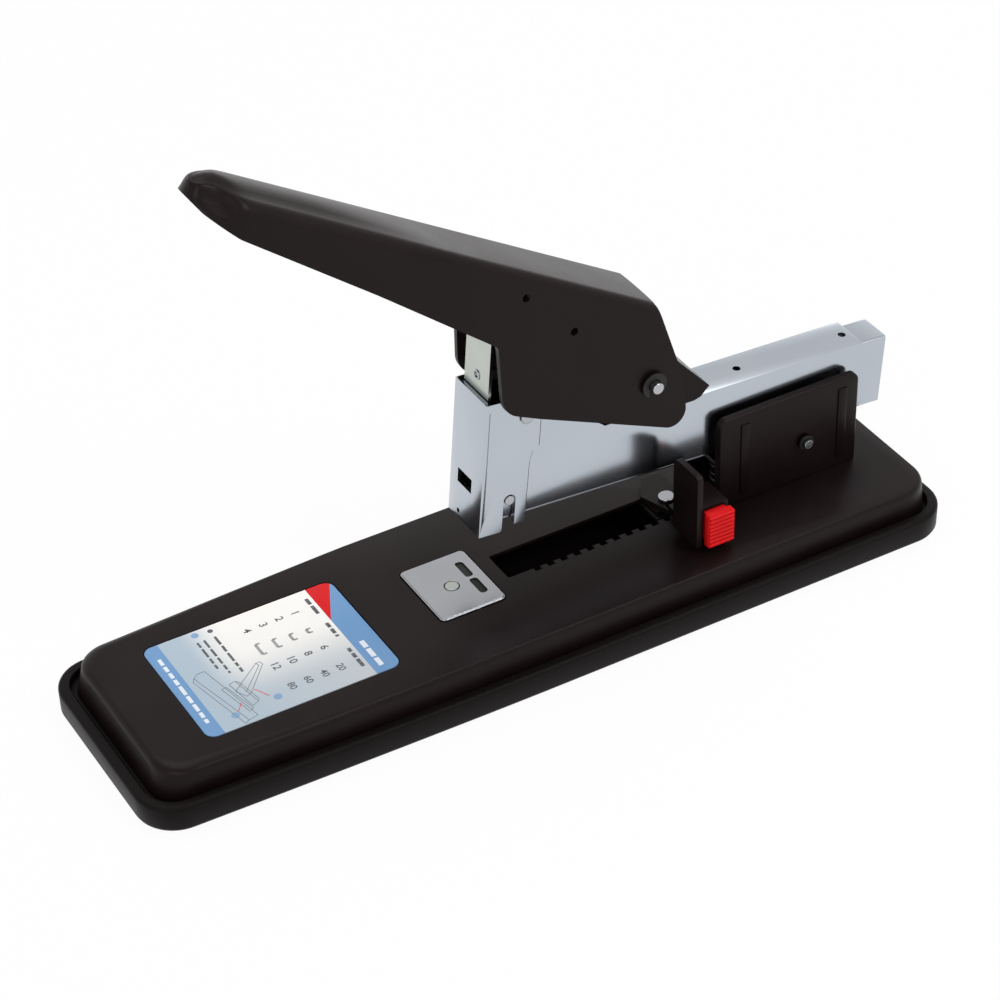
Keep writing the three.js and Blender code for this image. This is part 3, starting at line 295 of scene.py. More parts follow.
FINISHES = {
    "black_paint": satin_paint,
    "black_plastic": moulded_plastic,
    "zinc": lambda look: metal("plated_zinc", look.zinc, 0.17, 30, "x", 0.002, 0.95),
    "steel": lambda look: metal("bright_steel", look.steel, 0.26, 12, "z", 0.004),
    "nickel": lambda look: metal("satin_nickel", look.nickel, 0.2, 14, "x", 0.003, 0.95),
    "dark_steel": lambda look: metal("blackened_steel", look.dark_steel, 0.5, 8, "y", 0.006),
    "red_plastic": red_plastic,
    "label_print": label_film,
    "dark_ink": lambda look: ink("dark_ink", (0.02, 0.022, 0.026)),
    "line_ink": lambda look: ink("line_ink", (0.12, 0.13, 0.15)),
    "blue_ink": lambda look: ink("blue_ink", look.print_blue),
    "red_ink": lambda look: ink("red_ink", look.red),
    "pale_ink": lambda look: ink("pale_ink", (0.75, 0.8, 0.86)),
    "grey_ink": lambda look: ink("grey_ink", (0.3, 0.3, 0.31)),
}


MADE = {}


def finish(name):
    """The material for a slot or an ink, made when it is first asked for."""
    if name not in MADE:
        MADE[name] = FINISHES[name](bpy.context.scene.stapler_colours)
    return MADE[name]


NAMED_SLOTS = {material["slot"] for material in frame["record"]["materials"]}
SLOTS = {part["node"]: part["material_slot"] for part in frame["record"]["subparts"]}
BODIES = {node: body for body, nodes in frame["record"]["behaviour"]["bodies"].items() for node in nodes}


# ---------------------------------------------------------------- meshes
def arc_outline(corners, step=10.0):
    """Points of an outline with corners (u, v) or (u, v, radius); arcs have a point every step degrees."""
    points = []
    for i, corner in enumerate(corners):
        here = Vector(corner[:2])
        if len(corner) == 2:
            points.append(here)
            continue
        before, after = Vector(corners[i - 1][:2]), Vector(corners[(i + 1) % len(corners)][:2])
        back, on = (before - here).normalized(), (after - here).normalized()
        half = math.acos(max(-1.0, min(1.0, back.dot(on)))) / 2
        centre = here + (back + on).normalized() * corner[2] / math.sin(half)
        start, end = (here + way * corner[2] / math.tan(half) - centre for way in (back, on))
        turn = math.atan2(start.x * end.y - start.y * end.x, start.dot(end))
        count = max(2, round(abs(math.degrees(turn)) / step))
        for k in range(count + 1):
            c, s = math.cos(turn * k / count), math.sin(turn * k / count)
            points.append(centre + Vector((c * start.x - s * start.y, s * start.x + c * start.y)))
    return points


def solid(bm_fill):
    """A mesh in millimetres from a function that fills a bmesh, with its faces pointing out."""
    bm = bmesh.new()
    bm_fill(bm)
    bmesh.ops.remove_doubles(bm, verts=bm.verts, dist=1e-5)
    bmesh.ops.recalc_face_normals(bm, faces=bm.faces)
    mesh = bpy.data.meshes.new("part")
    bm.to_mesh(mesh)
    bm.free()
    return mesh


def loft(rings):
    """A closed skin through rings of as many points each."""
    def fill(bm):
        rows = [[bm.verts.new(point) for point in ring] for ring in rings]
        count = len(rows[0])
        for low, high in zip(rows, rows[1:]):
            for i in range(count):
                j = (i + 1) % count
                bm.faces.new((low[i], low[j], high[j], high[i]))
        bm.faces.new(rows[0][::-1])
        bm.faces.new(rows[-1])
    return solid(fill)


def prism(axis, corners, low, high):
    """A prism along x, y or z; its outline is in the other two axes, in the order x, y, z."""
    slot = "xyz".index(axis)
    points = [tuple(p) for p in arc_outline(corners)]
    return loft([[(*p[:slot], w, *p[slot:]) for p in points] for w in (low, high)])


def rod(axis, u, v, radius, low, high, sides=48):
    """A round bar along an axis, with its centre at (u, v) in the other two axes."""
    turns = np.linspace(0, 2 * math.pi, sides, False)
    corners = [(u + radius * math.cos(a), v + radius * math.sin(a)) for a in turns]
    return prism(axis, corners, low, high)


def box(x0, x1, y0, y1, z0, z1):
    """A block between two places on each axis."""
    return prism("z", [(x0, y0), (x1, y0), (x1, y1), (x0, y1)], z0, z1)


def on_side(side, inner, outer):
    """From inner to outer on the near side (-1) or the far side (1), the lower value first."""
    return sorted((side * inner, side * outer))


def rounded(x0, x1, y0, y1, radius):
    """The outline of a rectangle with round corners."""
    return [(x0, y0, radius), (x1, y0, radius), (x1, y1, radius), (x0, y1, radius)]


def joined(meshes):
    """Several meshes in one, as they are."""
    bm = bmesh.new()
    for mesh in meshes:
        bm.from_mesh(mesh)
    made = bpy.data.meshes.new("part")
    bm.to_mesh(made)
    bm.free()
    return made


def combined(mesh, others, operation="DIFFERENCE"):
    """A mesh with others cut from it or added to it."""
    scene = bpy.context.scene.collection.objects
    holder = bpy.data.objects.new("part", mesh)
    scene.link(holder)
    tools = []
    for other in others:
        tool = bpy.data.objects.new("tool", other)
        scene.link(tool)
        tools.append(tool)
        step = holder.modifiers.new("cut", "BOOLEAN")
        step.object, step.operation, step.solver = tool, operation, "EXACT"
    made = evaluated(holder)
    for used in (holder, *tools):
        bpy.data.objects.remove(used)
    return made


def evaluated(obj):
    """The mesh that an object's modifiers give."""
    graph = bpy.context.evaluated_depsgraph_get()
    graph.update()
    return bpy.data.meshes.new_from_object(obj.evaluated_get(graph))


def cleaned(node):
    """A copy of a CAD node's mesh, in metres; its triangles are joined and its flat faces melted into one."""
    mesh = frame["nodes"][node].data.copy()
    bm = bmesh.new()
    bm.from_mesh(mesh)
    bmesh.ops.remove_doubles(bm, verts=bm.verts, dist=2e-6)
    bmesh.ops.dissolve_degenerate(bm, edges=bm.edges, dist=1e-7)
    bmesh.ops.dissolve_limit(bm, angle_limit=math.radians(0.6), verts=bm.verts, edges=bm.edges)
    bm.to_mesh(mesh)
    bm.free()
    return mesh


def softened(mesh, width, least, segments=3):
    """Rounds the long outer edges, as bent and deburred sheet has them. Sizes are in the mesh's own unit."""
    bm = bmesh.new()
    bm.from_mesh(mesh)
    paired = [e for e in bm.edges if len(e.link_faces) == 2 and e.calc_length() > least]
    chosen = [e for e in paired if e.calc_face_angle_signed(0) > math.radians(40)]
    bmesh.ops.bevel(bm, geom=chosen, offset=width, offset_type="OFFSET", segments=segments, profile=0.5,
                    affect="EDGES", clamp_overlap=True)
    bm.to_mesh(mesh)
    bm.free()
    return mesh


def in_metres(place):
    """A placement in millimetres as one in metres."""
    moved = place.copy()
    moved.translation = place.translation * MM
    return moved


def piece(name, mesh, place, body, material, nodes, bevel=0.0, sharp=38):
    """Finishes a mesh in millimetres as a piece that rides on a body and stands for CAD nodes."""
    mesh.transform(Matrix.Scale(MM, 4))
    mesh.transform(in_metres(place))
    return finished(name, mesh, body, material, nodes, bevel, sharp)


def finished(name, mesh, body, material, nodes, bevel=0.0, sharp=38):
    """Finishes a mesh in metres, already in its place."""
    mesh.name = name
    mesh.materials.clear()
    mesh.materials.append(finish(material))
    mesh.polygons.foreach_set("use_smooth", [True] * len(mesh.polygons))
    mesh.set_sharp_from_angle(angle=math.radians(sharp))
    obj = bpy.data.objects.new(name, mesh)
    bpy.context.scene.collection.objects.link(obj)
    if bevel:
        edge = obj.modifiers.new("edges", "BEVEL")
        edge.width, edge.segments, edge.limit_method = bevel * MM, 2, "ANGLE"
        edge.angle_limit, edge.harden_normals = math.radians(sharp), True
    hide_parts(*nodes)
    material if material in NAMED_SLOTS else "label_print"
    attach(obj, body)
    return obj


def refined(node, bevel=0.12, fold=0.0, least=6.0, sharp=38):
    """A CAD node again with its faces joined, its long edges folded round and its small ones broken."""
    mesh = cleaned(node)
    if fold:
        softened(mesh, fold * MM, least * MM)
    return finished(f"{node}_skin", mesh, BODIES[node], SLOTS[node], [node], bevel, sharp)


# ---------------------------------------------------------------- geometry node recipes
class Recipe(Tree):
    """A geometry node group with named inputs, run once and turned into a plain mesh."""

    KINDS = {"count": "NodeSocketInt", "object": "NodeSocketObject", "length": "NodeSocketFloat"}

    def __init__(self, name, **inputs):
        group = bpy.data.node_groups.new(name, "GeometryNodeTree")
        super().__init__(group)
        group.interface.new_socket("Geometry", in_out="OUTPUT", socket_type="NodeSocketGeometry")
        self.names = {}
        for label, kind in {**inputs, "Material": None}.items():
            socket = "NodeSocketMaterial" if kind is None else self.KINDS[kind]
            made = group.interface.new_socket(label, in_out="INPUT", socket_type=socket)
            self.names[label] = made.identifier
        self.given = group.nodes.new("NodeGroupInput")

    def input(self, label):
        return Wire(self, self.given.outputs[label])

    def end(self, geometry):
        """Closes the tree: instances become real and take the material."""
        real = self.node("GeometryNodeRealizeInstances", None, {0: geometry})
        inputs = {"Geometry": real, "Material": self.input("Material")}
        painted = self.node("GeometryNodeSetMaterial", None, inputs)
        out = self.tree.nodes.new("NodeGroupOutput")
        self.tree.links.new(painted.socket, out.inputs[0])
        return self

    def mesh(self, material, start=None, **values):
        """The plain mesh that the recipe gives for these inputs, in metres."""
        holder = bpy.data.objects.new("recipe", start or bpy.data.meshes.new("recipe"))
        bpy.context.scene.collection.objects.link(holder)
        step = holder.modifiers.new("recipe", "NODES")
        step.node_group = self.tree
        for label, value in {**values, "Material": finish(material)}.items():
            step[self.names[label]] = value
        made = evaluated(holder)
        holder.modifiers.clear()
        bpy.data.objects.remove(holder)
        return made


def spring_recipe():
    """A compression spring along +Z whose end coils lie flat."""
    sizes = {"Radius": "length", "Wire": "length", "Turns": "length", "Height": "length"}
    r = Recipe("compression_spring", **sizes, Steps="count")
    line = r.node("GeometryNodeCurvePrimitiveLine")
    line = r.node("GeometryNodeResampleCurve", None, {"Curve": line, "Count": r.input("Steps")})
    along = r.node("GeometryNodeSplineParameter")
    turn = along * r.input("Turns") * (2 * math.pi)
    flat = 0.75 / r.input("Turns")
    rise = r.node("ShaderNodeMapRange", {"clamp": True}, {0: along, 1: flat, 2: 1 - flat})
    height = rise * (r.input("Height") - r.input("Wire")) + r.input("Wire") * 0.5
    point = r.node("ShaderNodeCombineXYZ", None, {
        0: turn.math("COSINE") * r.input("Radius"), 1: turn.math("SINE") * r.input("Radius"), 2: height,
    })
    coil = r.node("GeometryNodeSetPosition", None, {"Geometry": line, "Position": point})
    round_wire = {"Resolution": 12, "Radius": r.input("Wire") * 0.5}
    section = r.node("GeometryNodeCurvePrimitiveCircle", None, round_wire)
    swept = {"Curve": coil, "Profile Curve": section, "Fill Caps": True}
    return r.end(r.node("GeometryNodeCurveToMesh", None, swept))


def ridge_recipe():
    """Half-round ridges along X, stacked up +Z."""
    r = Recipe("thumb_ridges", Ridges="count", Pitch="length", Length="length", Radius="length")
    step = r.node("ShaderNodeCombineXYZ", None, {2: r.input("Pitch")})
    places = r.node("GeometryNodeMeshLine", {"mode": "OFFSET"}, {"Count": r.input("Ridges"), "Offset": step})
    bar = r.node("GeometryNodeMeshCylinder", None, {
        "Vertices": 12, "Radius": r.input("Radius"), "Depth": r.input("Length"),
    })
    bar = r.node("GeometryNodeTransform", None, {"Geometry": bar, "Rotation": (0, math.pi / 2, 0)})
    return r.end(r.node("GeometryNodeInstanceOnPoints", None, {"Points": places, "Instance": bar}))


def copies_recipe():
    """One object again on every point of a mesh."""
    r = Recipe("copies_on_points", Points="object", Piece="object")
    places = r.node("GeometryNodeObjectInfo", None, {"Object": r.input("Points")}, "Geometry")
    item = {"Object": r.input("Piece"), "As Instance": True}
    item = r.node("GeometryNodeObjectInfo", None, item, "Geometry")
    return r.end(r.node("GeometryNodeInstanceOnPoints", None, {"Points": places, "Instance": item}))


# ---------------------------------------------------------------- base
HALF_LENGTH = PAD_HIGH.x
HALF_WIDTH = PAD_HIGH.y
RIM = 3.4
WALL = HALF_WIDTH - RIM - 0.8


def plan(z, front, rear, corner, half):
    """Outline of the base at one height, counter-clockwise; half gives the half-width along x."""
    turns = np.linspace(0, math.pi / 2, 14)
    side = [(rear - corner + corner * math.cos(t), half(rear) - corner + corner * math.sin(t)) for t in turns]
    side += [(x, half(x)) for x in np.linspace(rear - corner, front + corner, 40)[1:-1]]
    wide = half(front + corner)
    side += [(front + corner - corner * math.sin(t), wide - corner + corner * math.cos(t)) for t in turns]
    return [(x, y, z) for x, y in side] + [(x, -y, z) for x, y in reversed(side)]


def taper(x, start, amount, end):
    """How much narrower one side is at x; it grows from nothing at start to the amount at end."""
    share = max(0.0, min(1.0, (start - x) / (start - end)))
    return amount * share ** 1.5


def pad_ring(z, inset):
    """One ring of the foot at a height, in from its outermost outline."""
    ends = HALF_LENGTH - inset
    return plan(z, -ends, ends, max(2.0, 12 - inset), lambda x: HALF_WIDTH - inset - taper(x, -10, 2.0, -118))


def pad_mesh():
    """The foot: a tray with a rounded rim, a pocket for the shell and recesses for the screws."""
    top = PAD_HIGH.z
    edge = [(top - 1.1 + 1.1 * math.sin(t), 1.1 * (1 - math.cos(t))) for t in np.linspace(0, math.pi / 2, 6)]
    outside = loft([pad_ring(z, inset) for z, inset in [(0, 1.2), (0.35, 0.5), (1.2, 0.05), *edge]])
    mouth = [(6.1, RIM), (top - 0.5, RIM), (top, RIM - 0.35), (top + 1, RIM - 1.2)]
    pocket = loft([pad_ring(z, inset) for z, inset in mouth])
    well = loft([pad_ring(2.5, RIM + 3.2), pad_ring(top, RIM + 3.2)])
    screws = [middle(f"base_screw_{i}") / MM for i in range(1, 5)]
    holes = [rod("z", p.x, p.y, r, -1, z) for p in screws for r, z in ((3.8, 1.4), (1.9, 3.5))]
    return combined(outside, [pocket, well, *holes])


def shell_ring(z, inset, lean, fold):
    """One ring of the shell: lean goes from lower edge to crease, fold from the crease onto the top."""
    def half(x):
        forward = max(0.0, min(1.0, (-37 - x) / 75))
        wall = WALL - inset - taper(x, -35, 2.0, -112) - lean * (0.1 + 0.4 * forward ** 2)
        return wall - fold * (0.8 + 2.9 * forward)
    front = -HALF_LENGTH + RIM + 0.8 + inset + 2.2 * lean + 2.56 * fold
    rear = HALF_LENGTH - RIM - 0.3 - inset - 0.5 * lean - 0.96 * fold
    return plan(z, front, rear, 8.6 - min(inset, 3) + 1.2 * lean, half)


def shell_skin(inset, bottom):
    """The closed outer form of the shell, or the room inside it when an inset is given."""
    top = SHELL_HIGH.z - inset
    crease = top - 2.3
    walls = [(bottom + (crease - bottom) * s, s) for s in (0, 0.08, 0.5, 1)]
    rings = [shell_ring(z, inset, s, 0) for z, s in walls]
    for t in np.linspace(0, math.pi / 2, 10)[1:]:
        rings.append(shell_ring(crease + 2.3 * math.sin(t), inset, 1, 1 - math.cos(t)))
    return loft(rings)


def shell_mesh():
    """The pressed cover of the base, with its recesses, the guide's slot and the teeth beside it."""
    top = SHELL_HIGH.z
    skin = combined(shell_skin(0, SHELL_LOW.z), [shell_skin(1.2, SHELL_LOW.z - 4)])
    seats = []
    for node, gap, depth, radius in (("label", 0.3, 0.6, 3.3), ("anvil_plate", 0.35, 1.3, 1.9)):
        low, high = limits(node)
        seats.append((low.x - gap, high.x + gap, low.y - gap, high.y + gap, depth, radius))
    floors = [box(x0 - 2, x1 + 2, y0 - 2, y1 + 2, top - 2.4, top - 1) for x0, x1, y0, y1, _, _ in seats]
    skin = combined(skin, floors, "UNION")
    slot = (limits("anvil_plate")[1].x + 4.9, limits("hinge_bracket")[0].x - 7.2, -5.2, 6.2)
    tooth = limits("paper_stop")[0].x + 6.6
    teeth = [box(x - 1.1, x + 1.1, slot[2] - 1.5, slot[2] + 1, top - 4, top + 1)
             for x in np.arange(tooth, slot[0] + 5.9, -4.4)]
    cuts = [prism("z", rounded(*seat[:4], seat[5]), top - seat[4], top + 1) for seat in seats]
    cuts.append(prism("z", rounded(*slot, 0.8), top - 4, top + 1))
    rivet = middle("anvil_rivet") / MM
    cuts.append(rod("z", rivet.x, rivet.y, 2.3, top - 6, top + 1))
    return combined(skin, [*cuts, *teeth])


# ---------------------------------------------------------------- anvil
# The two clinching grooves: how far in from the plate's rear edge, and each one's ends along y.
GROOVE_INSET = 4.2
GROOVES = [(0.65, 8.05), (-7.75, -0.45)]


# ---------------------------------------------------------------- hinge bracket
SHEET = 1.4
LIP = 2.3
RIB = 0.5


def bracket_mesh():
    """Two pressed cheeks with rolled rims on one floor, each with two raised ribs."""
    low, high = limits("hinge_bracket")
    half = high.y - RIB

    def ring(y, inset):
        x0, x1, z1 = low.x + inset, high.x - inset, high.z - inset
        corners = [(x0, low.z), (x1, low.z), (x1, z1, 2.8 - inset), (x0, z1, 2.8 - inset)]
        return [(p.x, y, p.y) for p in arc_outline(corners, 9)]

    roll = 0.7
    turns = np.linspace(0, math.pi / 2, 6)
    rim = [(half - roll + roll * math.sin(t), roll * (1 - math.cos(t))) for t in turns]
    rings = [ring(-y, inset) for y, inset in reversed(rim)] + [ring(y, inset) for y, inset in rim]
    floor = low.z + 1.5
    room = prism("y", [(low.x + SHEET, floor), (high.x - SHEET, floor), (high.x - SHEET, high.z - SHEET, 1.4),
                       (low.x + SHEET, high.z - SHEET, 1.4)], SHEET - half, half - SHEET)
    passage = box(low.x - 1, high.x + 1, LIP - half, half - LIP, floor, high.z + 1)
    rivets = [middle(f"bracket_rivet_{i}") / MM for i in (1, 2)]
    cuts = [room, passage, rod("y", PIVOT.x, PIVOT.z, 2.2, -half - 1, half + 1)]
    cuts += [rod("z", p.x, p.y, 1.75, low.z - 1, floor + 1) for p in rivets]
    ribs = []
    for x in (low.x + 8.8, high.x - 5.8):
        for side in (-1, 1):
            wide = on_side(side, half - 0.5, half + RIB)
            rib = box(x - 1.6, x + 1.6, *wide, low.z + 3, high.z - 3.5)
            ribs.append(softened(rib, 0.4, 0.5, 2))
    return combined(combined(loft(rings), cuts), ribs, "UNION")


# ---------------------------------------------------------------- magazine head
HEAD_FRONT = -108.6
HEAD_INSIDE = 6.9
HEAD_REAR = [(-94.0, 0.5), (-93.7, 19), (-92.9, 22.1), (-90.9, 23.4), (-90.9, 40)]


def head_mesh():
    """The folded head with a scored line beside each fold."""
    mesh = softened(cleaned("magazine_head"), 0.5 * MM, 9 * MM)
    mesh.transform(Matrix.Scale(1 / MM, 4))
    half = limits("magazine_head")[1].y
    line = HEAD_FRONT + 1.1
    scores = [box(line, line + 0.25, *on_side(side, half - 0.22, half + 1), 3, 38.5) for side in (-1, 1)]
    for score in scores:
        score.transform(MAGAZINE)
    return combined(mesh, scores)


def shade_head_inside(head):
    """Paints shade inside the head: the faces of the two cheeks that look at each other get a dark second
    material.
    """
    head.data.materials.append(finish("dark_steel"))
    for face in head.data.polygons:
        inward = face.normal.y * face.center.y < 0 and abs(face.normal.y) > 0.9
        if inward and abs(face.center.y) < HEAD_INSIDE * MM:
            face.material_index = 1


def head_cut_edge():
    """Painted shadow lines behind the rear edges of the head's two cheeks, as thin dark strips."""
    half = limits("magazine_head")[1].y
    outline = HEAD_REAR + [(x + 0.28, z) for x, z in reversed(HEAD_REAR)]
    return joined([prism("y", outline, *on_side(side, half - 0.75, half - 0.2)) for side in (-1, 1)])


# ---------------------------------------------------------------- lever
NOSE = -161.2
LEVER_TOP = 22.15
LEVER_REAR = -10.65
HALF_TOP = 10.96
FLARE = 0.0614
LEVER_OUTLINE = [
    (9.7, 3.9, 6), (20, -10.8, 4.8), (-33, -16.8), (-45.6, -17.8, 7.5), (-57, 0.2, 2),
    (-100.9, 6.7, 60), (-147.6, 12.7, 8), (-153.8, 14.3, 6), (-158, 15.4, 4), (NOSE, 16.9), (NOSE, 40),
    (LEVER_REAR, 40), (LEVER_REAR, LEVER_TOP),
]
# Bores in both cheeks, as (x, z, radius): the pin's and the two small ones above it.
LEVER_HOLES = ((0, 0, 2.05), (-55.1, 15.3, 1.2), (-34.6, 9.4, 1.2))
THUMB_DENT = 2.8
NOSE_CEILING = [(0, 20.5), (1.2, 21.6), (2.6, 22.5), (4.4, 23.3), (7, 24)]


def lever_edges():
    """The lever's lower and upper edge along x, each as (x, z) from the nose to the rear."""
    outline = [(p.x, p.y) for p in arc_outline(LEVER_OUTLINE, 6)]
    rear = max(range(len(outline)), key=lambda i: outline[i][0])
    nose = next(i for i, p in enumerate(outline) if p[0] <= NOSE + 1e-3)
    upper = [p for p in outline[:rear + 1] + outline[nose + 2:] if p[0] >= LEVER_REAR - 1e-3]
    return sorted(outline[rear:nose + 1]), sorted(upper, key=lambda p: (p[0], -p[1]))


def lever_section(x, z0, z1):
    """Points of the skin at x, from the near lower edge over the top to the far one."""
    d = x - NOSE
    share = (1 - max(0.0, 1 - d / 15.0) ** 2) ** 0.5
    part = min(1.0, max(0.0, (-70 - x) / 65))
    swell = part * part * (3 - 2 * part)
    top = LEVER_TOP - 0.15 + 0.4 * swell - 1.6 * max(0.0, 1 - d / 6) ** 2
    rise = min((0.15 + 1.6 * swell) * share, float(np.interp(d, *zip(*NOSE_CEILING))) - top)
    radius = min(3 + 1.2 * swell, 0.9 * HALF_TOP * share + 0.05, 0.55 * (top - min(z0, top - 0.3)))
    edge = top - radius
    rows = []
    for t in np.linspace(0, 1, 16):
        z = z0 + (edge - z0) * t
        rows.append((z, (HALF_TOP + (edge - z) * FLARE) * share))
    for a in np.linspace(0, math.pi / 2, 9)[1:]:
        rows.append((edge + radius * math.sin(a), HALF_TOP * share - radius * (1 - math.cos(a))))
    if x > LEVER_REAR:
        cut = float(np.interp(z1, *zip(*rows)))
        rows = [(z, y) if z < z1 else (z1, cut) for z, y in rows]

    def dented(depth):
        shares = [math.exp(-math.hypot((d - 5.6) / 4.3, (top - z - 2.3) / 2.9) ** 3) for z, _ in rows]
        return [(z, y - min(0.6 * y, depth * share)) for (z, y), share in zip(rows, shares)]

    near, far = dented(THUMB_DENT), dented(THUMB_DENT / 2)
    width = near[-1][1] + far[-1][1]
    roof = [(x, t * width - near[-1][1], rows[-1][0] + rise * 4 * t * (1 - t))
            for t in np.linspace(0, 1, 9)[1:-1]]
    return [(x, -y, z) for z, y in near] + roof + [(x, y, z) for z, y in reversed(far)], len(rows)


def lever_skin():
    """The outer skin of the lever in its own frame: flared cheeks, a rounded top and a thumb nose."""
    lower, upper = lever_edges()
    reach = lower[-1][0]
    xs = np.unique(np.round(np.concatenate([
        NOSE + 3.0 * np.linspace(0, 1, 16) ** 2, np.linspace(NOSE + 3, -140, 34), np.linspace(-140, -60, 36),
        np.linspace(-60, -30, 40), np.linspace(-30, LEVER_REAR, 12),
        reach - (reach - LEVER_REAR) * np.linspace(1, 0, 50) ** 2,
    ]), 4))
    bm = bmesh.new()
    columns = []
    for x, z0, z1 in zip(xs, np.interp(xs, *zip(*lower)), np.interp(xs, *zip(*upper))):
        points, side = lever_section(x, z0, max(z0, z1))
        columns.append((x, [bm.verts.new(point) for point in points]))
    for (x, left), (_, right) in zip(columns, columns[1:]):
        for i in range(len(left) - 1):
            if x >= LEVER_REAR and side - 1 <= i <= len(left) - side - 1:
                continue
            bm.faces.new((left[i], right[i], right[i + 1], left[i + 1]))
    bmesh.ops.remove_doubles(bm, verts=bm.verts, dist=0.01)
    bmesh.ops.dissolve_degenerate(bm, edges=bm.edges, dist=0.005)
    bmesh.ops.recalc_face_normals(bm, faces=bm.faces)
    highest = max(bm.faces, key=lambda face: face.calc_center_median().z)
    if highest.normal.z < 0:
        bmesh.ops.reverse_faces(bm, faces=bm.faces)
    mesh = bpy.data.meshes.new("part")
    bm.to_mesh(mesh)
    bm.free()
    return mesh


def lever_mesh(sheet):
    """The lever as pressed sheet, with the bores for its pin and the two pin holes above."""
    holder = bpy.data.objects.new("part", lever_skin())
    bpy.context.scene.collection.objects.link(holder)
    tip = holder.vertex_groups.new(name="sheet")
    for vertex in holder.data.vertices:
        share = min(1.0, max(0.02, (vertex.co.x - NOSE - 1) / 9))
        tip.add([vertex.index], share, "REPLACE")
    wall = holder.modifiers.new("sheet", "SOLIDIFY")
    wall.thickness, wall.offset, wall.vertex_group = sheet, -1, "sheet"
    mesh = evaluated(holder)
    bpy.data.objects.remove(holder)
    holes = [rod("y", *hole, *on_side(side, 5, 16)) for hole in LEVER_HOLES for side in (-1, 1)]
    return combined(mesh, holes)


# ---------------------------------------------------------------- print on the label
INK = 0.02
INK_GAP = 0.004


def stroke(p, q, width):
    """A thin bar on the label from p to q, in millimetres."""
    p, q = Vector(p), Vector(q)
    way = (q - p).normalized()
    across = Vector((-way.y, way.x)) * width / 2
    corners = [p + across, p - across, q - across, q + across]
    base = LABEL_HIGH.z + INK_GAP
    return prism("z", [tuple(c) for c in corners], base, base + INK)


def on_label(along, down):
    """A place on the label from two shares: along it from front to rear, down it from far to near."""
    size = LABEL_HIGH - LABEL_LOW
    return (LABEL_LOW.x + along * size.x, LABEL_HIGH.y - down * size.y)


def number(text, along, down, height):
    """A plain number that reads from the far side to the near one, as a thin mesh."""
    curve = bpy.data.curves.new("number", "FONT")
    curve.body, curve.size, curve.align_x, curve.align_y = text, height / 0.69, "CENTER", "CENTER"
    curve.extrude, curve.offset, curve.resolution_u = 0.01, 0.045, 3
    holder = bpy.data.objects.new("number", curve)
    bpy.context.scene.collection.objects.link(holder)
    mesh = evaluated(holder)
    bpy.data.objects.remove(holder)
    x, y = on_label(along, down)
    turned = Matrix(((0, 1, 0, x), (-1, 0, 0, y), (0, 0, 1, LABEL_HIGH.z + 0.014), (0, 0, 0, 1)))
    mesh.transform(turned)
    return mesh


def words(along, start, end, height, seed):
    """A line of short bars in place of words."""
    rng = np.random.default_rng(seed)
    bars = []
    at = start
    while at < end - 0.02:
        length = min(end - at, 0.035 + 0.06 * rng.random())
        bars.append(stroke(on_label(along, at), on_label(along, at + length), height))
        at += length + 0.018
    return bars


def label_print():
    """The inks by name: a plain table, bars in place of words, and a line drawing of a lever on its base."""
    dark = []
    grey = []
    for i, along in enumerate((0.745, 0.66, 0.575, 0.49)):
        dark += [number(f"{20 * (i + 1)}", along, 0.82, 2.1), number(f"{6 + 2 * i}", along, 0.59, 2.3)]
        dark.append(number(f"{i + 1}", along, 0.18, 2.4))
        crown = [(along - 0.012, 0.37 - 0.012 * i), (along - 0.012, 0.41 + 0.012 * i)]
        grey.append(stroke(*(on_label(*end) for end in crown), 0.9))
        grey += [stroke(on_label(*end), on_label(end[0] + 0.022, end[1]), 0.7) for end in crown]
    for start, end, seed in ((0.09, 0.29, 1), (0.38, 0.54, 2), (0.68, 0.9, 3)):
        dark += words(0.838, start, end, 1.1, seed)
    for along, end, height, seed in ((0.342, 0.53, 0.8, 4), (0.287, 0.5, 0.7, 5), (0.252, 0.42, 0.7, 8)):
        dark += words(along, 0.12, end, height, seed)
    lines = [stroke(on_label(*p), on_label(*q), 0.2) for chain in DRAWING for p, q in zip(chain, chain[1:])]
    blue = [dot(0.265, 0.045, 1.1), dot(0.4, 0.865, 1.2), dot(0.175, 0.885, 1.2)]
    dark.append(dot(0.342, 0.055, 0.8))
    arrows = (((0.235, 0.8), (0.2, 0.86)), ((0.33, 0.72), (0.37, 0.83)))
    red = [stroke(on_label(*p), on_label(*q), 0.28) for p, q in arrows]
    pale = words(0.045, 0.14, 0.86, 1.1, 6) + words(0.915, 0.66, 0.95, 1.5, 7)
    return {"dark_ink": dark, "line_ink": lines, "grey_ink": grey,
            "blue_ink": blue, "red_ink": red, "pale_ink": pale}


def dot(along, down, radius):
    """A round spot of ink on the label."""
    x, y = on_label(along, down)
    return rod("z", x, y, radius, LABEL_HIGH.z + INK_GAP, LABEL_HIGH.z + 0.022, 32)


# Lines of the drawing as (along, down) on the label: the base, its foot, the magazine and the lever.
DRAWING = (
    [(0.15, 0.40), (0.125, 0.43), (0.215, 0.97), (0.265, 0.955), (0.19, 0.40), (0.15, 0.40)],
    [(0.125, 0.43), (0.11, 0.46), (0.19, 0.985), (0.215, 0.97)],
    [(0.20, 0.62), (0.225, 0.61), (0.27, 0.88), (0.245, 0.9), (0.20, 0.62)],
    [(0.245, 0.6), (0.28, 0.59), (0.31, 0.84), (0.275, 0.86), (0.245, 0.6)],
    [(0.28, 0.59), (0.295, 0.62), (0.32, 0.82), (0.31, 0.84)],
    [(0.25, 0.68), (0.42, 0.5), (0.44, 0.5), (0.445, 0.53), (0.31, 0.74), (0.28, 0.76), (0.25, 0.68)],
    [(0.42, 0.5), (0.425, 0.53), (0.29, 0.72)],
)


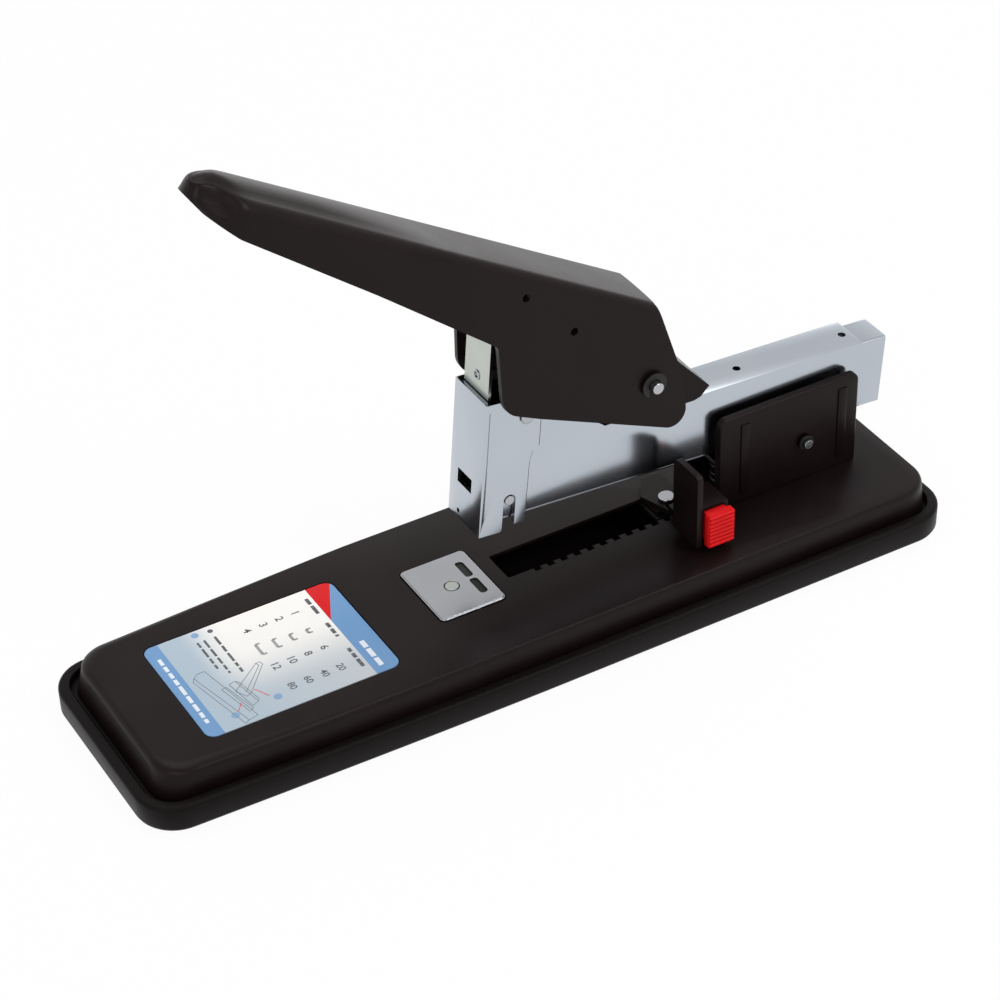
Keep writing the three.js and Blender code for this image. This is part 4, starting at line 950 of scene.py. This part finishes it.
# ---------------------------------------------------------------- springs
def spring(node, place, radius, wire, turns, height, material="steel"):
    """A coil spring that stands for a CAD spring."""
    mesh = spring_recipe().mesh(
        material, Radius=radius * MM, Wire=wire * MM, Turns=turns, Height=height * MM, Steps=int(turns * 32))
    shift = in_metres(place)
    mesh.transform(shift)
    obj = finished(f"{node}_coil", mesh, BODIES[node], material, [node], 0, 80)
    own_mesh(obj)
    return obj


# ---------------------------------------------------------------- stage
# Name, place, target, width and height, watts.
LAMPS = (
    ("overhead", (0.1, 0.35, 1.3), (0, 0, 0.05), (1.2, 0.8), 9.0),
    ("front_left", (-1.1, -0.9, 0.9), (0, 0, 0.05), (0.8, 0.8), 6.0),
    ("back_right", (0.95, 0.92, 0.14), (-0.05, 0, 0.15), (0.6, 0.4), 1.1),
    ("near_right", (0.47, -0.72, 0.9), (0, 0, 0.05), (0.5, 0.5), 5.0),
)


def rays(tree, *names):
    """1 for the rays that are named, 0 for the rest."""
    found = [tree.node("ShaderNodeLightPath", output=name) for name in names]
    total = found[0]
    for other in found[1:]:
        total = total.largest(other)
    return total


def backdrop_material():
    """A pale floor: nearly white to the eye, with a trace of shadow, and a bright sheet in mirrors."""
    f = Finish("pale_floor")
    diffuse = f.node("ShaderNodeBsdfDiffuse", None, {"Color": (0.82, 0.82, 0.82, 1)})
    mirrored = rays(f, "Is Glossy Ray", "Is Transmission Ray")
    light = f.node("ShaderNodeEmission", None, {"Color": (1, 1, 1, 1), "Strength": mirrored * 0.3 + 1.0})
    share = mirrored.largest(rays(f, "Is Camera Ray")) * 0.95
    mixed = f.node("ShaderNodeMixShader", None, {0: share, 1: diffuse, 2: light})
    end = f.tree.nodes.new("ShaderNodeOutputMaterial")
    f.tree.links.new(mixed.socket, end.inputs["Surface"])
    return f.material


def set_world(scene):
    """A white room to look at and to mirror, and a plain grey one to light by."""
    world = bpy.data.worlds.new("room")
    scene.world = world
    world.use_nodes = True
    world.node_tree.nodes.clear()
    tree = Tree(world.node_tree)
    place = tree.node("ShaderNodeTexCoord", output="Generated")
    way = tree.node("ShaderNodeSeparateXYZ", None, {0: place}, "Z")
    seen = rays(tree, "Is Camera Ray")
    mirrored = rays(tree, "Is Glossy Ray", "Is Transmission Ray") * way.ramp(0.1, 0.9, 1.3, 0.9)
    strength = seen.largest(mirrored.largest(0.42))
    background = tree.node("ShaderNodeBackground", None, {"Color": (1, 1, 1, 1), "Strength": strength})
    end = world.node_tree.nodes.new("ShaderNodeOutputWorld")
    world.node_tree.links.new(background.socket, end.inputs["Surface"])


# Azimuth, elevation and roll in degrees; distance, sideways shift and focal length in millimetres.
VIEW_ANGLES = (-29.42, 37.12, -1.57)
VIEW_DISTANCE = 885.3
VIEW_SHIFT = (-3.22, 31.28)
VIEW_LENS = 110.3958


def set_camera(scene):
    """A long lens from the front left, a little above the lever."""
    azimuth, elevation, roll = (math.radians(angle) for angle in VIEW_ANGLES)
    right = Vector((math.cos(azimuth), math.sin(azimuth), 0))
    level = Vector((math.sin(azimuth), -math.cos(azimuth), 0))
    back = level * math.cos(elevation) + Vector((0, 0, math.sin(elevation)))
    up = back.cross(right)
    across = math.cos(roll) * right + math.sin(roll) * up
    upward = -math.sin(roll) * right + math.cos(roll) * up
    place = (back * VIEW_DISTANCE + across * VIEW_SHIFT[0] + upward * VIEW_SHIFT[1]) * MM
    lens = bpy.data.cameras.new("camera")
    lens.sensor_width, lens.lens = 36, VIEW_LENS
    lens.clip_start, lens.clip_end = 0.05, 20
    camera = bpy.data.objects.new("camera", lens)
    columns = Matrix((across, upward, back)).transposed().to_4x4()
    camera.matrix_world = Matrix.Translation(place) @ columns
    scene.collection.objects.link(camera)
    scene.camera = camera


# ---------------------------------------------------------------- sizes and colours a user may change
class StaplerSizes(bpy.types.PropertyGroup):
    """Sizes that the frame doesn't fix."""
    sheet: bpy.props.FloatProperty(
        name="Lever sheet", description="Thickness of the lever's steel, in millimetres",
        default=1.6, min=0.8, max=2.0)
    ridges: bpy.props.IntProperty(
        name="Button ridges", description="Number of thumb ridges on the release button",
        default=8, min=3, max=10)
    broken_edge: bpy.props.FloatProperty(
        name="Broken edge", description="Width of the rounding on stamped edges, in millimetres",
        default=0.12, min=0.02, max=0.3)
    floor: bpy.props.FloatProperty(
        name="Floor", description="Width of the floor", default=6.0, unit="LENGTH", min=1.0, max=20.0)


def paint_property(name, description, default):
    """A colour that a user may change."""
    return bpy.props.FloatVectorProperty(
        name=name, description=description, default=default, size=3, min=0, max=1, subtype="COLOR")


class StaplerColours(bpy.types.PropertyGroup):
    """Base colours of the finishes."""
    paint: paint_property("Paint", "Satin powder coat of the shell and lever", (0.0066, 0.0034, 0.0034))
    plastic: paint_property("Foot", "Moulded foot", (0.0040, 0.0027, 0.0026))
    zinc: paint_property("Zinc", "Plated magazine", (0.375, 0.405, 0.445))
    steel: paint_property("Steel", "Blade and springs", (0.385, 0.41, 0.38))
    nickel: paint_property("Nickel", "Anvil, pins and rivets", (0.345, 0.352, 0.368))
    # Besides clips and hidden rivets, this dark colour paints shade inside the head, in the anvil grooves,
    # behind the head's cheeks and on the lift spring.
    dark_steel: paint_property("Blackened steel", "Clips and hidden rivets", (0.035, 0.034, 0.033))
    red: paint_property("Red", "Release button and label corner", (0.70, 0.008, 0.010))
    print_blue: paint_property("Print blue", "Bands of the label", (0.16, 0.31, 0.54))
    film: paint_property("Film", "Rear of the label's field", (0.54, 0.575, 0.60))
    film_blue: paint_property("Film front", "Front of the label's field", (0.40, 0.49, 0.57))
    film_warm: paint_property("Film light", "Light part of the label's field", (0.88, 0.86, 0.83))


# ---------------------------------------------------------------- operators
class STAPLER_OT_foot(bpy.types.Operator):
    """Builds the moulded foot and its four screws"""
    bl_idname = "stapler.foot"
    bl_label = "Foot and screws"

    def execute(self, context):
        piece("foot", pad_mesh(), IDENTITY, "base", "black_plastic", ["base_pad"], 0.15)
        names = [f"base_screw_{i}" for i in range(1, 5)]
        places = bpy.data.meshes.new("screw_places")
        places.from_pydata([tuple(middle(name) - middle(names[0])) for name in names], [], [])
        points = bpy.data.objects.new("screw_places", places)
        screw = bpy.data.objects.new("screw", cleaned(names[0]))
        mesh = copies_recipe().mesh("nickel", Points=points, Piece=screw)
        for used in (points, screw):
            bpy.data.objects.remove(used)
        finished("foot_screws", mesh, "base", "nickel", names, 0.1)
        return {"FINISHED"}


class STAPLER_OT_shell(bpy.types.Operator):
    """Builds the pressed cover of the base"""
    bl_idname = "stapler.shell"
    bl_label = "Base shell"

    def execute(self, context):
        piece("shell", shell_mesh(), IDENTITY, "base", "black_paint", ["base_shell"], 0.16, 42)
        return {"FINISHED"}


class STAPLER_OT_label(bpy.types.Operator):
    """Lays the printed label into its recess"""
    bl_idname = "stapler.label"
    bl_label = "Label"

    def execute(self, context):
        low, high = LABEL_LOW, LABEL_HIGH
        film = prism("z", rounded(low.x, high.x, low.y, high.y, 3), low.z, high.z)
        piece("label_film", film, IDENTITY, "base", "label_print", ["label"], 0.06)
        for name, meshes in label_print().items():
            piece(f"label_{name}", joined(meshes), IDENTITY, "base", name, [])
        return {"FINISHED"}


class STAPLER_OT_anvil(bpy.types.Operator):
    """Sets the anvil plate and its rivet"""
    bl_idname = "stapler.anvil"
    bl_label = "Anvil"

    def execute(self, context):
        refined("anvil_plate", 0.15, sharp=20)
        refined("anvil_rivet", 0.15)
        high = limits("anvil_plate")[1]
        x = high.x - GROOVE_INSET
        # Dark floors in the two clinching grooves: painted shade in the recesses.
        floors = [prism("z", rounded(x - 1.2, x + 1.2, *ends, 1.05), high.z - 0.97, high.z - 0.72)
                  for ends in GROOVES]
        piece("anvil_groove_floors", joined(floors), IDENTITY, "base", "dark_steel", [])
        return {"FINISHED"}


class STAPLER_OT_bracket(bpy.types.Operator):
    """Builds the folded hinge bracket with its rivets, pin, clips and lift spring"""
    bl_idname = "stapler.bracket"
    bl_label = "Hinge bracket"

    def execute(self, context):
        edge = context.scene.stapler_sizes.broken_edge
        piece("hinge_bracket_skin", bracket_mesh(), IDENTITY, "base", "black_paint", ["hinge_bracket"], 0.1)
        rivets = ("bracket_rivet_1", "bracket_rivet_2")
        for node in (*rivets, "magazine_pivot_pin", "pivot_clip_near", "pivot_clip_far"):
            refined(node, edge)
        low, high = limits("lift_spring")
        place = Matrix.Translation(((low.x + high.x) / 2, 0, low.z))
        # The spring's dark finish paints the shade in the gap between the paper stop and the bracket.
        spring("lift_spring", place, 4.1, 1.0, 4.5, high.z - low.z, "dark_steel")
        return {"FINISHED"}


class STAPLER_OT_guide(bpy.types.Operator):
    """Builds the sliding paper stop with its carriage and pawl"""
    bl_idname = "stapler.guide"
    bl_label = "Paper stop"

    def execute(self, context):
        edge = context.scene.stapler_sizes.broken_edge
        refined("paper_stop", edge, fold=0.3, least=4)
        for node in ("guide_carriage", "slider_block", "slider_retainer", "release_pawl"):
            refined(node, edge)
        refined("guide_rivet", 0.3)
        return {"FINISHED"}


class STAPLER_OT_button(bpy.types.Operator):
    """Builds the release button with its ridges and spring"""
    bl_idname = "stapler.button"
    bl_label = "Release button"

    def execute(self, context):
        ridges = context.scene.stapler_sizes.ridges
        low, high = limits("release_button")
        cap = prism("y", rounded(low.x, high.x, low.z, high.z, 0.8), low.y + 0.45, low.y + 2.3)
        softened(cap, 0.3, 0.5)
        stem = box(low.x + 0.9, high.x - 1.1, low.y + 1, high.y, low.z + 1.3, high.z - 0.8)
        body = combined(cap, [stem], "UNION")
        body.transform(Matrix.Scale(MM, 4))
        pitch = (high.z - low.z - 1.7) / (ridges - 1)
        bars = ridge_recipe().mesh("red_plastic", Ridges=ridges, Pitch=pitch * MM,
                                   Length=(high.x - low.x - 0.7) * MM, Radius=pitch * 0.42 * MM)
        bars.transform(Matrix.Translation(Vector(((low.x + high.x) / 2, low.y + 0.48, low.z + 0.85)) * MM))
        node = "release_button"
        finished("button", joined([body, bars]), BODIES[node], "red_plastic", [node], 0.08)
        low, high = limits("button_spring")
        start = Matrix.Translation(((low.x + high.x) / 2, low.y, (low.z + high.z) / 2))
        place = start @ Matrix.Rotation(-math.pi / 2, 4, "X")
        spring("button_spring", place, 2.2, 0.6, 3.5, high.y - low.y)
        return {"FINISHED"}


class STAPLER_OT_magazine(bpy.types.Operator):
    """Builds the folded magazine channel and its hinge cradle"""
    bl_idname = "stapler.magazine"
    bl_label = "Magazine"

    def execute(self, context):
        edge = context.scene.stapler_sizes.broken_edge
        refined("magazine_channel", edge, fold=0.5, least=8)
        refined("hinge_cradle", edge)
        return {"FINISHED"}


class STAPLER_OT_head(bpy.types.Operator):
    """Builds the head in front of the magazine with its pins, rivets and blade guide"""
    bl_idname = "stapler.head"
    bl_label = "Magazine head"

    def execute(self, context):
        edge = context.scene.stapler_sizes.broken_edge
        body = BODIES["magazine_head"]
        head = piece("magazine_head_skin", head_mesh(), IDENTITY, body, "zinc", ["magazine_head"], 0.12)
        # The insides of the two cheeks get painted shade.
        shade_head_inside(head)
        # Thin dark strips behind the cheeks' rear edges: painted shadow in the gap there.
        piece("head_cut_edge", head_cut_edge(), MAGAZINE, body, "dark_steel", [])
        refined("driver_guide", edge)
        for side in ("near", "far"):
            refined(f"head_rivet_{side}", 0.25)
            refined(f"head_pin_{side}", 0.2)
        return {"FINISHED"}


class STAPLER_OT_yoke(bpy.types.Operator):
    """Builds the yoke that carries the lever, with pin, bushes, clips and return spring"""
    bl_idname = "stapler.yoke"
    bl_label = "Yoke and lever pin"

    def execute(self, context):
        edge = context.scene.stapler_sizes.broken_edge
        refined("handle_yoke", edge, fold=0.5, least=6)
        refined("handle_pivot_pin", 0.35)
        for side in ("near", "far"):
            refined(f"pivot_bush_{side}", edge)
            refined(f"handle_clip_{side}", edge)
        place = MAGAZINE @ Matrix.Translation((-75.0, 0, 22.12))
        spring("return_spring", place, 3.9, 1.0, 7.5, 43.2)
        return {"FINISHED"}


class STAPLER_OT_rail(bpy.types.Operator):
    """Builds the staple rail with its cap, rod, pusher and spring"""
    bl_idname = "stapler.rail"
    bl_label = "Staple rail"

    def execute(self, context):
        edge = context.scene.stapler_sizes.broken_edge
        refined("rail_end_cap", edge, fold=0.4, least=4)
        for node in ("staple_rail", "guide_rod", "pusher"):
            refined(node, edge)
        rail = Matrix.Translation(PIVOT) @ Matrix.Rotation(math.radians(3.97), 4, "Y")
        place = rail @ Matrix.Translation((-91.1, 0, 11)) @ Matrix.Rotation(math.pi / 2, 4, "Y")
        spring("pusher_spring", place, 2.0, 0.6, 13.0, 119.6)
        return {"FINISHED"}


class STAPLER_OT_driver(bpy.types.Operator):
    """Builds the driver blade with its carrier, link pin and rivet"""
    bl_idname = "stapler.driver"
    bl_label = "Driver"

    def execute(self, context):
        edge = context.scene.stapler_sizes.broken_edge
        for node in ("driver_blade", "driver_carrier", "driver_link_pin"):
            refined(node, edge)
        to_magazine = MAGAZINE.inverted()
        points = [to_magazine @ (v.co / MM) for v in frame["nodes"]["driver_rivet"].data.vertices]
        face = min(p.x for p in points) + 0.02
        height = (min(p.z for p in points) + max(p.z for p in points)) / 2
        cup = rod("x", 0, height, 0.95, face - 1, face + 0.4)
        ring = combined(rod("x", 0, height, 1.5, face, face + 1.2), [cup])
        piece("driver_rivet_head", ring, MAGAZINE, BODIES["driver_rivet"], "nickel", ["driver_rivet"], 0.05)
        return {"FINISHED"}


class STAPLER_OT_lever(bpy.types.Operator):
    """Builds the pressed lever and the link bracket inside it"""
    bl_idname = "stapler.lever"
    bl_label = "Lever"

    def execute(self, context):
        mesh = lever_mesh(context.scene.stapler_sizes.sheet)
        piece("lever", mesh, HANDLE, BODIES["handle_shell"], "black_paint", ["handle_shell"], 0.28, 46)
        refined("handle_link_bracket", context.scene.stapler_sizes.broken_edge)
        return {"FINISHED"}


class STAPLER_OT_stage(bpy.types.Operator):
    """Sets the floor, the lights and the camera"""
    bl_idname = "stapler.stage"
    bl_label = "Stage"

    def execute(self, context):
        scene = context.scene
        half = scene.stapler_sizes.floor / 2
        plane = bpy.data.meshes.new("floor")
        corners = [(-half, -half, 0), (half, -half, 0), (half, half, 0), (-half, half, 0)]
        plane.from_pydata(corners, [], [(0, 1, 2, 3)])
        plane.materials.append(backdrop_material())
        floor = bpy.data.objects.new("floor", plane)
        floor.location.z = -0.0004
        scene.collection.objects.link(floor)
        set_world(scene)
        for name, place, target, width, watts in LAMPS:
            lamp = bpy.data.lights.new(name, "AREA")
            lamp.shape, lamp.size, lamp.size_y, lamp.energy = "RECTANGLE", width[0], width[1], watts
            obj = bpy.data.objects.new(name, lamp)
            obj.location = place
            obj.rotation_euler = (Vector(target) - Vector(place)).to_track_quat("-Z", "Y").to_euler()
            scene.collection.objects.link(obj)
        set_camera(scene)
        scene.view_settings.view_transform = "Standard"
        return {"FINISHED"}


class STAPLER_PT_panel(bpy.types.Panel):
    """Lists the pieces, sizes and colours"""
    bl_idname = "STAPLER_PT_panel"
    bl_label = "Desktop stapler"
    bl_space_type = "VIEW_3D"
    bl_region_type = "UI"
    bl_category = "Stapler"

    def draw(self, context):
        for group in (context.scene.stapler_sizes, context.scene.stapler_colours):
            frame_box = self.layout.box()
            for name in group.bl_rna.properties.keys():
                if name not in {"rna_type", "name"}:
                    frame_box.prop(group, name)
        for operator in OPERATORS:
            self.layout.operator(operator.bl_idname)


OPERATORS = (
    STAPLER_OT_foot, STAPLER_OT_shell, STAPLER_OT_label, STAPLER_OT_anvil, STAPLER_OT_bracket,
    STAPLER_OT_guide, STAPLER_OT_button, STAPLER_OT_magazine, STAPLER_OT_head, STAPLER_OT_yoke,
    STAPLER_OT_rail, STAPLER_OT_driver, STAPLER_OT_lever, STAPLER_OT_stage,
)
CLASSES = (StaplerSizes, StaplerColours, *OPERATORS, STAPLER_PT_panel)


def register():
    """Makes the sizes, colours, operators and panel known to Blender."""
    for each in CLASSES:
        bpy.utils.register_class(each)
    bpy.types.Scene.stapler_sizes = bpy.props.PointerProperty(type=StaplerSizes)
    bpy.types.Scene.stapler_colours = bpy.props.PointerProperty(type=StaplerColours)


def unregister():
    """Takes back what register added."""
    del bpy.types.Scene.stapler_sizes
    del bpy.types.Scene.stapler_colours
    for each in reversed(CLASSES):
        bpy.utils.unregister_class(each)


def main():
    """Builds every piece in order."""
    register()
    for operator in OPERATORS:
        group, name = operator.bl_idname.split(".")
        getattr(getattr(bpy.ops, group), name)()


if __name__ == "__main__":
    main()
